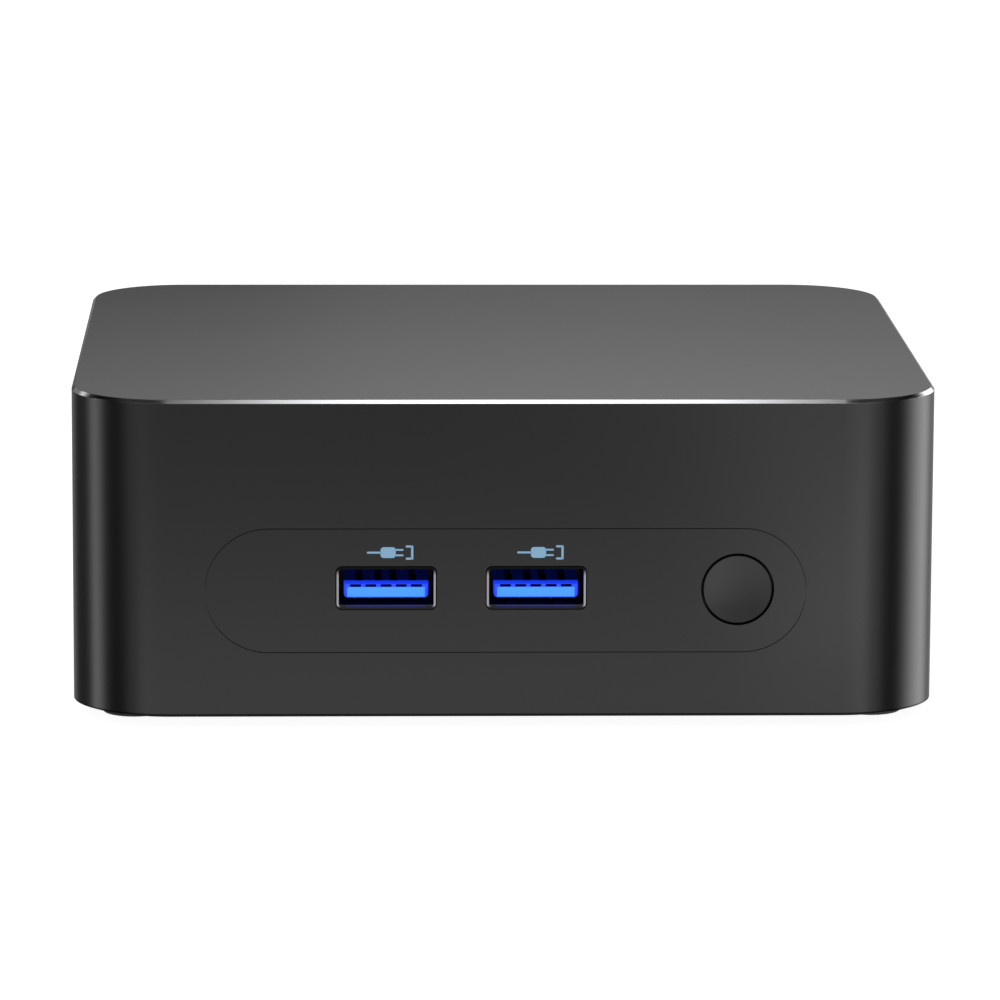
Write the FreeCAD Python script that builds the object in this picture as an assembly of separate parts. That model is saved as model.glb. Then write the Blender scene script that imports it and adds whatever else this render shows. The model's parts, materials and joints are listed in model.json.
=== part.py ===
import FreeCAD, Part
import math
import os

# A mini PC: a small desktop computer in a dark box with rounded upright corners. Sizes are millimetres.
# Frame: +Z up, the front faces -Y, +X is to the right seen from the front. The origin is the centre of the
# plane that the rubber feet rest on.
# The main board hangs level at mid height. Ports, memory and cards are under it, the cooler is over it.

V = FreeCAD.Vector
OUT = "parts"

# ---- case ------------------------------------------------------------------------------------------
CASE_W = 114.4
CASE_D = 106.0
CASE_H = 42.0            # painted cover alone, without the feet
CORNER_R = 13.0
WALL = 2.0
EDGE_CHAMFER = 0.45      # polished bevel round the top edge
FOOT_DROP = 1.45         # resting plane to the base plate's underside
BASE_LIP = 0.35          # how far the base plate shows below the cover
LIP_WALL = 0.60          # thin outer lip of the cover that hides the base plate's edge
FIT_GAP = 0.10           # shut line between an inset panel and the cover
TOUCH = 0.02             # clearance between pieces that rest on each other

SHELL_Z0 = FOOT_DROP + BASE_LIP
SHELL_Z1 = SHELL_Z0 + CASE_H
CEILING = SHELL_Z1 - WALL
FRONT = -CASE_D / 2
REAR = CASE_D / 2
INNER_FRONT = FRONT + WALL
INNER_REAR = REAR - WALL
INNER_SIDE = CASE_W / 2 - WALL

BASE_T = 1.8
BASE_TOP = FOOT_DROP + BASE_T

# ---- main board ------------------------------------------------------------------------------------
BOARD_Z0 = 21.74         # underside
BOARD_T = 1.6
BOARD_Z1 = BOARD_Z0 + BOARD_T
BOARD_HALF_W = 54.0
BOARD_HALF_D = 49.4
NOTCH_X = 44.8           # the board's corners are cut away outside this, to clear the corner posts
NOTCH_Y = 36.6

# ---- corner posts, feet and base screws share one axis at each corner ------------------------------
POST_X, POST_Y = 49.0, 41.0
POST_R = 3.6
FOOT_R = 4.5
FOOT_BORE_R = 2.9
FOOT_POCKET = 0.5
INSERT_R = 2.1
INSERT_LEN = 5.0
INSERT_Z0 = BASE_TOP + 0.35
SCREW_R = 1.45           # M3 shank
SCREW_HEAD_R = 2.6
SCREW_HEAD_T = 1.45
SCREW_SEAT = 2.15        # height of the face under the head
SCREW_TIP = 9.4

# ---- board bosses: short posts from the ceiling to the board ---------------------------------------
BOARD_BOSSES = [(-40.0, -45.0), (40.0, -45.0), (-50.5, 24.0), (50.5, 24.0)]
BOSS_R = 3.0
BOARD_SCREW_R = 1.2

# ---- VESA 75 threaded inserts in the base plate ----------------------------------------------------
VESA = 75.0
VESA_BORE_R = 1.65       # M4 thread, minor radius
VESA_INSERT_R = 2.6
VESA_BOSS_R = 4.0
VESA_BOSS_TOP = 7.0

# ---- front panel -----------------------------------------------------------------------------------
FLANGE_T = 1.2
FLANGE_REACH = 1.5
STADIUM_HALF_W = 39.5
STADIUM_HALF_H = 8.3
STADIUM_Z = SHELL_Z0 + 16.7
BUTTON_X = 30.45
BUTTON_Z = STADIUM_Z + 0.12
BUTTON_R = 4.53
BUTTON_HOLE_R = 4.81
BUTTON_TRAVEL = 0.6
SWITCH_TRAVEL = 0.25
FRONT_USB_X = (-15.7, 4.0)
PORT_RECESS = 0.10       # a port's rim sits this far behind the panel's face
PORT_GAP = 0.15          # clearance round a port in its cut-out

# ---- USB type A receptacle, half sizes -------------------------------------------------------------
USB_HW, USB_HH = 6.5, 2.8
USB_WALL = 0.27
USB_DEPTH = 14.0
USB_Z = BOARD_Z0 - 0.09 - USB_HH
TONGUE_TIP = 1.9
TONGUE_Z0, TONGUE_Z1 = -1.66, 0.28
USB_STACK_PITCH = 8.0
USB_LEG_Y = (4.2, 9.6)   # board legs, back from the port's rim
LEG_W = 1.8
HDMI_LEG_Y = 4.0
ETH_LEG_Y = 6.0

# ---- rear panel and its ports, centre X of each ----------------------------------------------------
REAR_PANEL_HALF_W = 43.7
REAR_PANEL_Z0, REAR_PANEL_Z1 = 4.6, 40.2
REAR_PANEL_R = 4.0
DC_X, DC_HW, DC_HH, DC_DEPTH = 38.0, 4.5, 5.5, 14.0
DC_THROAT_R, DC_THROAT_DEPTH = 3.1, 11.0
DC_PIN_R, DC_PIN_TIP, DC_ROOT_R = 1.05, 1.2, 1.6
HDMI_XS = (23.8, 6.6)
HDMI_HW, HDMI_HH, HDMI_DEPTH = 7.5, 2.775, 11.5
REAR_USB_X = -9.65
ETH_X, ETH_HW, ETH_HH, ETH_DEPTH = -26.4, 8.0, 6.7, 21.0
AUDIO_X, AUDIO_HW, AUDIO_HH, AUDIO_DEPTH = -39.7, 3.1, 2.5, 12.0
AUDIO_BORE_R, AUDIO_BORE_DEPTH = 1.8, 10.5
GRILLE_Z0, GRILLE_Z1 = 25.6, 38.4
GRILLE_PITCH, GRILLE_SLOT = 3.0, 1.7

# ---- cooler ----------------------------------------------------------------------------------------
FAN_X, FAN_Y = 15.5, 2.0
FAN_X0, FAN_X1 = -13.0, 44.0
FAN_Y0, FAN_Y1 = -26.0, 37.5
FAN_Z0 = 26.24           # underside of the blower's floor
FAN_FLOOR = 1.0
FAN_Z1 = 38.54           # top of its walls
FAN_COVER_T = 0.6
ROTOR_R = 22.3
SCROLL_R = 24.2
HUB_R, HUB_INNER_R = 10.0, 9.0
SHAFT_R, BEARING_R = 1.0, 2.5
RUNNING_GAP = 0.04       # radial clearance of the shaft in its bearing
FAN_SCREWS = [(-9.6, -22.6), (40.6, -22.6), (41.8, 33.2)]
SOC_X, SOC_Y = -30.0, 0.0
COLD_PLATE = (-46.0, -14.2, -18.0, 18.0)
COLD_Z0, COLD_Z1 = 24.96, 27.34
PIPE_W, PIPE_H = 8.0, 3.0
PIPE_BEND = 12.0
PIPE_Y = 43.8            # the pipe's centre line through the fins
FINS_X0, FINS_X1, FIN_PITCH, FIN_T = -11.0, 43.0, 1.6, 0.4

# ---- memory, storage and radio cards under the board -----------------------------------------------
RAM_X, RAM_HALF_W = 2.0, 34.8
RAM_Y0, RAM_Y1 = -27.5, 1.5
RAM_Z0, RAM_Z1 = 18.6, 19.8
SSD_Y, SSD_HALF_D = 17.0, 11.0
SSD_X0, SSD_X1 = -39.0, 41.0
SSD_Z0, SSD_Z1 = 13.1, 13.9
WIFI_X0, WIFI_X1 = -6.0, 24.0
WIFI_Z0, WIFI_Z1 = 18.6, 19.4
ANTENNA_T = 0.35


# ==== shape helpers =================================================================================
def box(x0, x1, y0, y1, z0, z1):
    return Part.makeBox(x1 - x0, y1 - y0, z1 - z0, V(x0, y0, z0))


def post(x, y, r, z0, z1):
    """Upright cylinder."""
    return Part.makeCylinder(r, z1 - z0, V(x, y, z0))


def barrel(x, z, r, y0, y1):
    """Cylinder along Y."""
    return Part.makeCylinder(r, y1 - y0, V(x, y0, z), V(0, 1, 0))


def ring(x, y, r_out, r_in, z0, z1):
    return post(x, y, r_out, z0, z1).cut(post(x, y, r_in, z0 - 1, z1 + 1))


def rounded_wire(u0, u1, v0, v1, r, place):
    """Closed rectangle with round corners; place(u, v) puts a flat point in space."""
    r = min(r, (u1 - u0) / 2 - 1e-3, (v1 - v0) / 2 - 1e-3)
    k = r * (1 - math.sqrt(0.5))
    corners = [
        ((u1 - r, v0), (u1 - k, v0 + k), (u1, v0 + r)),
        ((u1, v1 - r), (u1 - k, v1 - k), (u1 - r, v1)),
        ((u0 + r, v1), (u0 + k, v1 - k), (u0, v1 - r)),
        ((u0, v0 + r), (u0 + k, v0 + k), (u0 + r, v0)),
    ]
    edges = []
    for i, (start, middle, end) in enumerate(corners):
        edges.append(Part.Arc(place(*start), place(*middle), place(*end)).toShape())
        following = corners[(i + 1) % 4][0]
        edges.append(Part.LineSegment(place(*end), place(*following)).toShape())
    return Part.Wire(Part.__sortEdges__(edges))


def upright_prism(x0, x1, y0, y1, r, z0, z1):
    """Rounded rectangle in plan, pulled up."""
    wire = rounded_wire(x0, x1, y0, y1, r, lambda u, v: V(u, v, z0))
    return Part.Face(wire).extrude(V(0, 0, z1 - z0))


def panel(x0, x1, z0, z1, r, y0, y1):
    """Rounded rectangle seen from the front, pulled along Y."""
    wire = rounded_wire(x0, x1, z0, z1, r, lambda u, v: V(u, y0, v))
    return Part.Face(wire).extrude(V(0, y1 - y0, 0))


def side_slot(y0, y1, z0, z1, x0, x1):
    """Round-ended slot through a side wall."""
    wire = rounded_wire(y0, y1, z0, z1, (y1 - y0) / 2, lambda u, v: V(x0, u, v))
    return Part.Face(wire).extrude(V(x1 - x0, 0, 0))


def polygon_prism(points, direction):
    wire = Part.makePolygon([V(*p) for p in points] + [V(*points[0])])
    return Part.Face(wire).extrude(V(*direction))


def join(shapes):
    return shapes[0].multiFuse(shapes[1:]).removeSplitter() if len(shapes) > 1 else shapes[0]


def chamfer_face_rim(shape, normal, level, size):
    """Bevels the outer rim of the flat face with this normal at this level."""
    for face in shape.Faces:
        if not isinstance(face.Surface, Part.Plane):
            continue
        n = face.normalAt(0, 0)
        if n.dot(normal) > 0.999 and abs(face.CenterOfMass.dot(normal) - level) < 1e-3:
            return shape.makeChamfer(size, face.OuterWire.Edges)
    raise ValueError("no face at that level")


def bent_wire(points, bend):
    """Straight runs between the points, with every corner rounded to one radius."""
    points = [V(*p) for p in points]
    edges = []
    start = points[0]
    for before, corner, after in zip(points, points[1:], points[2:]):
        back = (before - corner).normalize()
        onward = (after - corner).normalize()
        turn = math.pi - back.getAngle(onward)
        setback = bend * math.tan(turn / 2)
        first, last = corner + back * setback, corner + onward * setback
        sagitta = bend / math.cos(turn / 2) - bend
        middle = corner + (back + onward).normalize() * sagitta
        edges.append(Part.makeLine(start, first))
        edges.append(Part.Arc(first, middle, last).toShape())
        start = last
    edges.append(Part.makeLine(start, points[-1]))
    return Part.Wire(edges)


def tube_along(points, r, bend):
    """Round cable through these points."""
    leave = V(*points[1]) - V(*points[0])
    profile = Part.Wire([Part.Circle(V(*points[0]), leave, r).toShape()])
    return bent_wire(points, bend).makePipeShell([profile], True, False)


def corners(x, y):
    return [(x, y), (-x, y), (-x, -y), (x, -y)]


def place_port(shape, x, z, at_rear):
    """Moves a port modelled facing -Y, with its rim at Y 0, into the front or rear panel."""
    moved = shape.copy()
    if at_rear:
        moved.rotate(V(0, 0, 0), V(0, 0, 1), 180)
        moved.translate(V(x, REAR - PORT_RECESS, z))
    else:
        moved.translate(V(x, FRONT + PORT_RECESS, z))
    return moved


def save(name, shapes):
    shapes = shapes if isinstance(shapes, list) else [shapes]
    solids = [s for shape in shapes for s in shape.Solids]
    result = Part.makeCompound(solids) if len(solids) > 1 else solids[0]
    result.exportStep(os.path.join(OUT, name + ".step"))


# ==== case ==========================================================================================
def case_blank(inset, z0, z1):
    half_w, half_d = CASE_W / 2 - inset, CASE_D / 2 - inset
    return upright_prism(-half_w, half_w, -half_d, half_d, CORNER_R - inset, z0, z1)


def side_vents():
    """Upright slots through both side walls, level with the blower's inlet."""
    slot_w, slot_z0, slot_z1, pitch, count = 1.8, 27.0, 38.0, 3.6, 13
    cuts = []
    for i in range(count):
        y = (i - (count - 1) / 2) * pitch
        for x0, x1 in ((-CASE_W, -INNER_SIDE + 1), (INNER_SIDE - 1, CASE_W)):
            cuts.append(side_slot(y - slot_w / 2, y + slot_w / 2, slot_z0, slot_z1, x0, x1))
    return cuts


def case_shell():
    outer = chamfer_face_rim(case_blank(0, SHELL_Z0, SHELL_Z1), V(0, 0, 1), SHELL_Z1, EDGE_CHAMFER)
    hollow = case_blank(WALL, SHELL_Z0 - 1, CEILING)
    rebate = case_blank(LIP_WALL, SHELL_Z0 - 1, BASE_TOP + 0.05)
    shell = outer.cut([hollow, rebate])
    adds, holes = [], []
    for x, y in corners(POST_X, POST_Y):
        adds.append(post(x, y, POST_R, BASE_TOP + 0.05, CEILING + 0.5))
        wall = math.copysign(INNER_SIDE + 0.5, x)
        adds.append(box(min(x, wall), max(x, wall), y - 0.8, y + 0.8, BASE_TOP + 4, CEILING + 0.5))
        holes.append(post(x, y, INSERT_R, 0, INSERT_Z0 + INSERT_LEN))
        holes.append(post(x, y, SCREW_R + 0.15, 0, SCREW_TIP + 1.5))
    for x, y in BOARD_BOSSES:
        adds.append(post(x, y, BOSS_R, BOARD_Z1, CEILING + 0.5))
        holes.append(post(x, y, BOARD_SCREW_R + 0.02, BOARD_Z1 - 1, BOARD_Z1 + 7))
    shell = shell.multiFuse(adds).removeSplitter()
    openings = [
        panel(-STADIUM_HALF_W, STADIUM_HALF_W, STADIUM_Z - STADIUM_HALF_H, STADIUM_Z + STADIUM_HALF_H,
              STADIUM_HALF_H, FRONT - 1, INNER_FRONT + 0.01),
        panel(-REAR_PANEL_HALF_W, REAR_PANEL_HALF_W, REAR_PANEL_Z0, REAR_PANEL_Z1,
              REAR_PANEL_R, INNER_REAR - 0.01, REAR + 1),
    ]
    return shell.cut(holes + openings + side_vents())


def port_hole(x, z, half_w, half_h, r, y0, y1):
    g = PORT_GAP
    return panel(x - half_w - g, x + half_w + g, z - half_h - g, z + half_h + g, r + g, y0, y1)


def front_bezel():
    g = FIT_GAP
    hw, hh = STADIUM_HALF_W - g, STADIUM_HALF_H - g
    fw, fh = STADIUM_HALF_W + FLANGE_REACH, STADIUM_HALF_H + FLANGE_REACH
    back = INNER_FRONT + TOUCH
    plate = panel(-hw, hw, STADIUM_Z - hh, STADIUM_Z + hh, hh, FRONT, back)
    flange = panel(-fw, fw, STADIUM_Z - fh, STADIUM_Z + fh, fh, back, back + FLANGE_T - TOUCH)
    y0, y1 = FRONT - 1, back + FLANGE_T + 1
    cuts = [port_hole(x, USB_Z, USB_HW, USB_HH, 0.7, y0, y1) for x in FRONT_USB_X]
    cuts.append(barrel(BUTTON_X, BUTTON_Z, BUTTON_HOLE_R, y0, y1))
    # The flange is cut back over the board's front edge.
    cuts.append(box(-fw - 1, fw + 1, back, y1, BOARD_Z0 - 0.3, BOARD_Z1 + 0.3))
    bezel = plate.fuse(flange).removeSplitter().cut(cuts)
    return bezel


def rear_ports():
    """(centre x, centre z, half width, half height, corner radius) of every port in the rear panel."""
    top = BOARD_Z0 - 0.09
    return [
        (DC_X, top - DC_HH, DC_HW, DC_HH, 0.05),
        (HDMI_XS[0], top - HDMI_HH, HDMI_HW, HDMI_HH, 0.05),
        (HDMI_XS[1], top - HDMI_HH, HDMI_HW, HDMI_HH, 0.05),
        (REAR_USB_X, USB_Z - USB_STACK_PITCH / 2, USB_HW, USB_HH + USB_STACK_PITCH / 2, 0.7),
        (ETH_X, top - ETH_HH, ETH_HW, ETH_HH, 0.05),
        (AUDIO_X, top - AUDIO_HH, AUDIO_HW, AUDIO_HH, 0.05),
    ]


def rear_io_panel():
    g = FIT_GAP
    hw = REAR_PANEL_HALF_W - g
    front = INNER_REAR - TOUCH - 0.08
    plate = panel(-hw, hw, REAR_PANEL_Z0 + g, REAR_PANEL_Z1 - g, REAR_PANEL_R - g, front, REAR)
    flange = panel(-hw - 1.3, hw + 1.3, REAR_PANEL_Z0 - 1.2, REAR_PANEL_Z1 + 1.2, REAR_PANEL_R,
                   INNER_REAR - FLANGE_T, front)
    y0, y1 = INNER_REAR - FLANGE_T - 1, REAR + 1
    cuts = [port_hole(x, z, hw_, hh_, r, y0, y1) for x, z, hw_, hh_, r in rear_ports()]
    count = int((2 * REAR_PANEL_HALF_W - 6) / GRILLE_PITCH)
    for i in range(count):
        x = (i - (count - 1) / 2) * GRILLE_PITCH
        cuts.append(panel(x - GRILLE_SLOT / 2, x + GRILLE_SLOT / 2, GRILLE_Z0, GRILLE_Z1, GRILLE_SLOT / 2, y0, y1))
    # The flange is cut back over the board's rear edge.
    cuts.append(box(-hw - 2, hw + 2, y0, front, BOARD_Z0 - 0.3, BOARD_Z1 + 0.3))
    return plate.fuse(flange).removeSplitter().cut(cuts)


def base_plate():
    outer = case_blank(LIP_WALL + 0.15, FOOT_DROP, BASE_TOP)
    outer = chamfer_face_rim(outer, V(0, 0, -1), -FOOT_DROP, 0.25)
    bosses = [post(x, y, VESA_BOSS_R, BASE_TOP - 0.5, VESA_BOSS_TOP) for x, y in corners(VESA / 2, VESA / 2)]
    rib_z, rib_top = BASE_TOP - 0.5, BASE_TOP + 1.6
    ribs = [box(-34.5, 34.5, y - 0.7, y + 0.7, rib_z, rib_top) for y in (-VESA / 2, VESA / 2)]
    ribs += [box(x - 0.7, x + 0.7, -34.5, 34.5, rib_z, rib_top) for x in (-VESA / 2, VESA / 2)]
    plate = outer.multiFuse(bosses + ribs).removeSplitter()
    cuts = []
    for x, y in corners(POST_X, POST_Y):
        cuts.append(post(x, y, FOOT_R + 0.1, FOOT_DROP - 1, FOOT_DROP + FOOT_POCKET))
        cuts.append(post(x, y, SCREW_HEAD_R + 0.15, FOOT_DROP - 1, SCREW_SEAT))
        cuts.append(post(x, y, SCREW_R + 0.2, FOOT_DROP - 1, BASE_TOP + 1))
    for x, y in corners(VESA / 2, VESA / 2):
        cuts.append(post(x, y, VESA_INSERT_R, FOOT_DROP - 1, VESA_BOSS_TOP - 0.4))
    slot_w, pitch, count = 2.2, 4.4, 13
    for i in range(count):
        x = (i - (count - 1) / 2) * pitch
        for y0, y1 in ((-26.0, -3.0), (3.0, 26.0)):
            cuts.append(upright_prism(x - slot_w / 2, x + slot_w / 2, y0, y1, slot_w / 2,
                                      FOOT_DROP - 1, BASE_TOP + 1))
    return plate.cut(cuts)


def rubber_feet():
    feet = []
    for x, y in corners(POST_X, POST_Y):
        foot = post(x, y, FOOT_R, 0, FOOT_DROP + FOOT_POCKET - TOUCH)
        foot = chamfer_face_rim(foot, V(0, 0, -1), 0, 0.3)
        feet.append(foot.cut(post(x, y, FOOT_BORE_R, -1, FOOT_DROP + 2)))
    return feet


def base_screws():
    screws = []
    for x, y in corners(POST_X, POST_Y):
        head = post(x, y, SCREW_HEAD_R, SCREW_SEAT - SCREW_HEAD_T, SCREW_SEAT - TOUCH)
        head = chamfer_face_rim(head, V(0, 0, -1), -(SCREW_SEAT - SCREW_HEAD_T), 0.3)
        shank = post(x, y, SCREW_R, SCREW_SEAT - TOUCH - 0.1, SCREW_TIP)
        low = SCREW_SEAT - SCREW_HEAD_T
        cross = [box(x - 1.5, x + 1.5, y - 0.3, y + 0.3, low - 1, low + 0.8),
                 box(x - 0.3, x + 0.3, y - 1.5, y + 1.5, low - 1, low + 0.8)]
        screws.append(head.fuse(shank).removeSplitter().cut(cross))
    return screws


def case_inserts():
    return [ring(x, y, INSERT_R - TOUCH, SCREW_R + 0.03, INSERT_Z0, INSERT_Z0 + INSERT_LEN - TOUCH)
            for x, y in corners(POST_X, POST_Y)]


def vesa_inserts():
    z0, z1 = FOOT_DROP + 0.1, VESA_BOSS_TOP - 0.4 - TOUCH
    return [ring(x, y, VESA_INSERT_R - TOUCH, VESA_BORE_R, z0, z1) for x, y in corners(VESA / 2, VESA / 2)]


# ==== power button ==================================================================================
SWITCH_BODY_Y = (-45.2, -41.7)
ACTUATOR_TIP = SWITCH_BODY_Y[0] - 1.4


def power_button_cap():
    """Round cap with a shallow dished face, a retaining flange and a stem that meets the switch."""
    face = FRONT + 0.05
    flange_y0 = INNER_FRONT + FLANGE_T + 0.06
    cap = barrel(BUTTON_X, BUTTON_Z, BUTTON_R, face, flange_y0 + 0.5)
    cap = chamfer_face_rim(cap, V(0, -1, 0), -face, 0.10)
    dish_r = 60.0
    dish_depth = 0.14
    dish = Part.makeSphere(dish_r, V(BUTTON_X, face + dish_depth - dish_r, BUTTON_Z))
    flange = barrel(BUTTON_X, BUTTON_Z, BUTTON_R + 1.1, flange_y0, flange_y0 + 0.9)
    stem_end = ACTUATOR_TIP - (BUTTON_TRAVEL - SWITCH_TRAVEL)
    stem = barrel(BUTTON_X, BUTTON_Z, 1.5, flange_y0 + 0.5, stem_end - TOUCH)
    return cap.cut(dish).fuse([flange, stem]).removeSplitter()


def power_switch_body():
    """Right-angle push switch hanging under the board's front edge, with its four leads."""
    y0, y1 = SWITCH_BODY_Y
    body = box(BUTTON_X - 3.0, BUTTON_X + 3.0, y0, y1, BUTTON_Z - 3.0, BOARD_Z0 - TOUCH)
    body = body.cut(barrel(BUTTON_X, BUTTON_Z, 1.8, y0 - 1, y0 + 1.6))
    leads = [box(BUTTON_X + dx - 0.35, BUTTON_X + dx + 0.35, y, y + 0.3, BOARD_Z0 - 0.5, BOARD_Z1 + 0.6)
             for dx in (-2.25, 2.25) for y in (y0 + 0.7, y1 - 1.0)]
    return join([body] + leads)


def power_switch_actuator():
    return barrel(BUTTON_X, BUTTON_Z, 1.72, ACTUATOR_TIP, SWITCH_BODY_Y[0] + 1.6 - SWITCH_TRAVEL - TOUCH)


# ==== ports =========================================================================================
def spring_finger(x, z, inward):
    """Contact finger lanced from a port shell's wall, leaning into the opening."""
    length, half_w, lean = 4.6, 0.8, 5.0
    finger = box(x - half_w, x + half_w, 1.9, 1.9 + length, z, z + USB_WALL)
    finger.rotate(V(x, 1.9, z), V(1, 0, 0), -lean * inward)
    return finger


def usb_tube(z_centres):
    """Steel shell of one receptacle, or of a stack, with fingers and board legs."""
    top, bottom = max(z_centres), min(z_centres)
    tube = panel(-USB_HW, USB_HW, bottom - USB_HH, top + USB_HH, 0.7, 0, USB_DEPTH)
    inner_w, inner_h = USB_HW - USB_WALL, USB_HH - USB_WALL
    cuts, adds = [], []
    for zc in z_centres:
        cuts.append(panel(-inner_w, inner_w, zc - inner_h, zc + inner_h, 0.4, -1, USB_DEPTH + 1))
    for x in (-3.1, 3.1):
        cuts.append(box(x - 1.15, x + 1.15, 1.85, 6.9, top + inner_h - 0.1, top + USB_HH + 1))
        cuts.append(box(x - 1.15, x + 1.15, 1.85, 6.9, bottom - USB_HH - 1, bottom - inner_h + 0.1))
        adds.append(spring_finger(x, top + inner_h, 1))
        adds.append(spring_finger(x, bottom - inner_h - USB_WALL, -1))
    for side in (-1, 1):
        x0, x1 = sorted((side * inner_w, side * USB_HW))
        for y in USB_LEG_Y:
            adds.append(box(x0, x1, y, y + LEG_W, top + 1.0, BOARD_Z1 - USB_Z + 0.5))
    bridge = [box(x - 0.8, x + 0.8, 1.6, 2.2, z, z + USB_WALL)
              for x in (-3.1, 3.1) for z in (top + inner_h, bottom - USB_HH)]
    return join([tube.cut(cuts)] + adds + bridge)


def usb_tongue():
    """Plastic tongue with four contact channels behind and five small windows in its tip."""
    half_w = 5.55
    tongue = box(-half_w, half_w, TONGUE_TIP, 11.0, TONGUE_Z0, TONGUE_Z1)
    tongue = chamfer_face_rim(tongue, V(0, -1, 0), -TONGUE_TIP, 0.12)
    block = panel(-6.2, 6.2, -USB_HH + USB_WALL + 0.05, USB_HH - USB_WALL - 0.05, 0.4, 10.9, USB_DEPTH - 0.1)
    cuts = [box(x - 0.55, x + 0.55, TONGUE_TIP + 2.0, 12.2, TONGUE_Z1 - 0.6, TONGUE_Z1 + 0.6)
            for x in (-3.5, -1.0, 1.0, 3.5)]
    cuts += [box(x - 0.72, x + 0.72, TONGUE_TIP - 1, TONGUE_TIP + 1.3, TONGUE_Z1 - 0.50, TONGUE_Z1 - 0.14)
             for x in (-4.0, -2.0, 0.0, 2.0, 4.0)]
    return tongue.fuse(block).removeSplitter().cut(cuts)


def usb_contacts():
    """Four bowed springs in the channels and five flat pads in the tip's windows."""
    z = TONGUE_Z1 - 0.38
    tip = TONGUE_TIP + 2.2
    upper = [(tip, z), (tip + 1.2, z + 0.85), (tip + 2.0, z + 0.85), (tip + 4.0, z + 0.2), (12.0, z + 0.2)]
    lower = [(y, h - 0.18) for y, h in upper]
    springs = []
    for x in (-3.5, -1.0, 1.0, 3.5):
        profile = [(x - 0.42, y, h) for y, h in upper + lower[::-1]]
        springs.append(polygon_prism(profile, (0.84, 0, 0)))
    pads = [box(x - 0.6, x + 0.6, TONGUE_TIP + 0.7, TONGUE_TIP + 1.25, TONGUE_Z1 - 0.48, TONGUE_Z1 - 0.36)
            for x in (-4.0, -2.0, 0.0, 2.0, 4.0)]
    return springs + pads


def hdmi_outline(inset, y):
    """D-shaped outline: full width below, corners cut off above, beside the board."""
    w, h = HDMI_HW - inset, HDMI_HH - inset
    slant = 0.42 * inset
    return [(-w, y, -h), (w, y, -h), (w, y, 0.6 - slant), (w - 2.0 + slant, y, h), (2.0 - w - slant, y, h),
            (-w, y, 0.6 - slant)]


def hdmi_shell():
    outer = polygon_prism(hdmi_outline(0, 0), (0, HDMI_DEPTH, 0))
    inner = polygon_prism(hdmi_outline(0.3, -1), (0, HDMI_DEPTH + 2, 0))
    legs = [box(x0, x0 + 0.3, HDMI_LEG_Y, HDMI_LEG_Y + LEG_W, -1.0, BOARD_Z1 - (BOARD_Z0 - 0.09 - HDMI_HH) + 0.5)
            for x0 in (-HDMI_HW, HDMI_HW - 0.3)]
    return join([outer.cut(inner)] + legs)


def hdmi_tongue():
    blade = box(-5.9, 5.9, 1.8, 9.0, -0.75, 0.15)
    blade = chamfer_face_rim(blade, V(0, -1, 0), -1.8, 0.2)
    block = polygon_prism(hdmi_outline(0.36, 8.9), (0, HDMI_DEPTH - 9.0, 0))
    return blade.fuse(block).removeSplitter()


ETH_BODY_HW, ETH_BODY_HH = ETH_HW - 0.35, ETH_HH - 0.35


def ethernet_shield():
    outer = box(-ETH_HW, ETH_HW, 0, ETH_DEPTH, -ETH_HH, ETH_HH)
    inner = box(-ETH_HW + 0.3, ETH_HW - 0.3, -1, ETH_DEPTH - 0.3, -ETH_HH + 0.3, ETH_HH - 0.3)
    legs = [box(x0, x0 + 0.3, ETH_LEG_Y, ETH_LEG_Y + LEG_W, 0, BOARD_Z1 - (BOARD_Z0 - 0.09 - ETH_HH) + 0.5)
            for x0 in (-ETH_HW, ETH_HW - 0.3)]
    return join([outer.cut(inner)] + legs)


def ethernet_body():
    """Plastic jack body: plug opening with the latch slot below, and a window for each light."""
    body = box(-ETH_BODY_HW, ETH_BODY_HW, 0.25, ETH_DEPTH - 0.4, -ETH_BODY_HH, ETH_BODY_HH)
    depth = 14.0
    cuts = [box(-5.95, 5.95, -1, depth, -3.4, 4.0), box(-3.1, 3.1, -1, depth, -4.7, -3.0),
            box(-1.7, 1.7, -1, depth - 3, -5.7, -4.0)]
    cuts += [box(x - 1.3, x + 1.3, -1, 2.0, 4.5, 5.9) for x in (-5.0, 5.0)]
    return body.cut(cuts)


def ethernet_contacts():
    """Eight sprung wires that slope down across the plug opening."""
    wires = []
    for i in range(8):
        x = (i - 3.5) * 1.02
        profile = [(x - 0.2, 3.0, 3.7), (x - 0.2, 11.5, 0.6), (x - 0.2, 11.5, 0.25), (x - 0.2, 3.0, 3.35)]
        wires.append(polygon_prism(profile, (0.4, 0, 0)))
    return wires


def ethernet_lights():
    return [box(x - 1.27, x + 1.27, 0.3, 1.95, 4.53, 5.87) for x in (-5.0, 5.0)]


def dc_jack_body():
    body = box(-DC_HW, DC_HW, 0, DC_DEPTH, -DC_HH, DC_HH)
    body = chamfer_face_rim(body, V(0, -1, 0), 0, 0.3)
    throat = barrel(0, 0, DC_THROAT_R, -1, DC_THROAT_DEPTH)
    seat = barrel(0, 0, DC_ROOT_R + 0.03, DC_THROAT_DEPTH - 1, DC_THROAT_DEPTH + 2)
    return body.cut([throat, seat])


def dc_jack_pin():
    """Bevelled pin with a thicker root that is held in the body."""
    pin = barrel(0, 0, DC_PIN_R, DC_PIN_TIP, DC_THROAT_DEPTH + 1)
    pin = chamfer_face_rim(pin, V(0, -1, 0), -DC_PIN_TIP, 0.4)
    root = barrel(0, 0, DC_ROOT_R, DC_THROAT_DEPTH, DC_THROAT_DEPTH + 1.9)
    return pin.fuse(root).removeSplitter()


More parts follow.
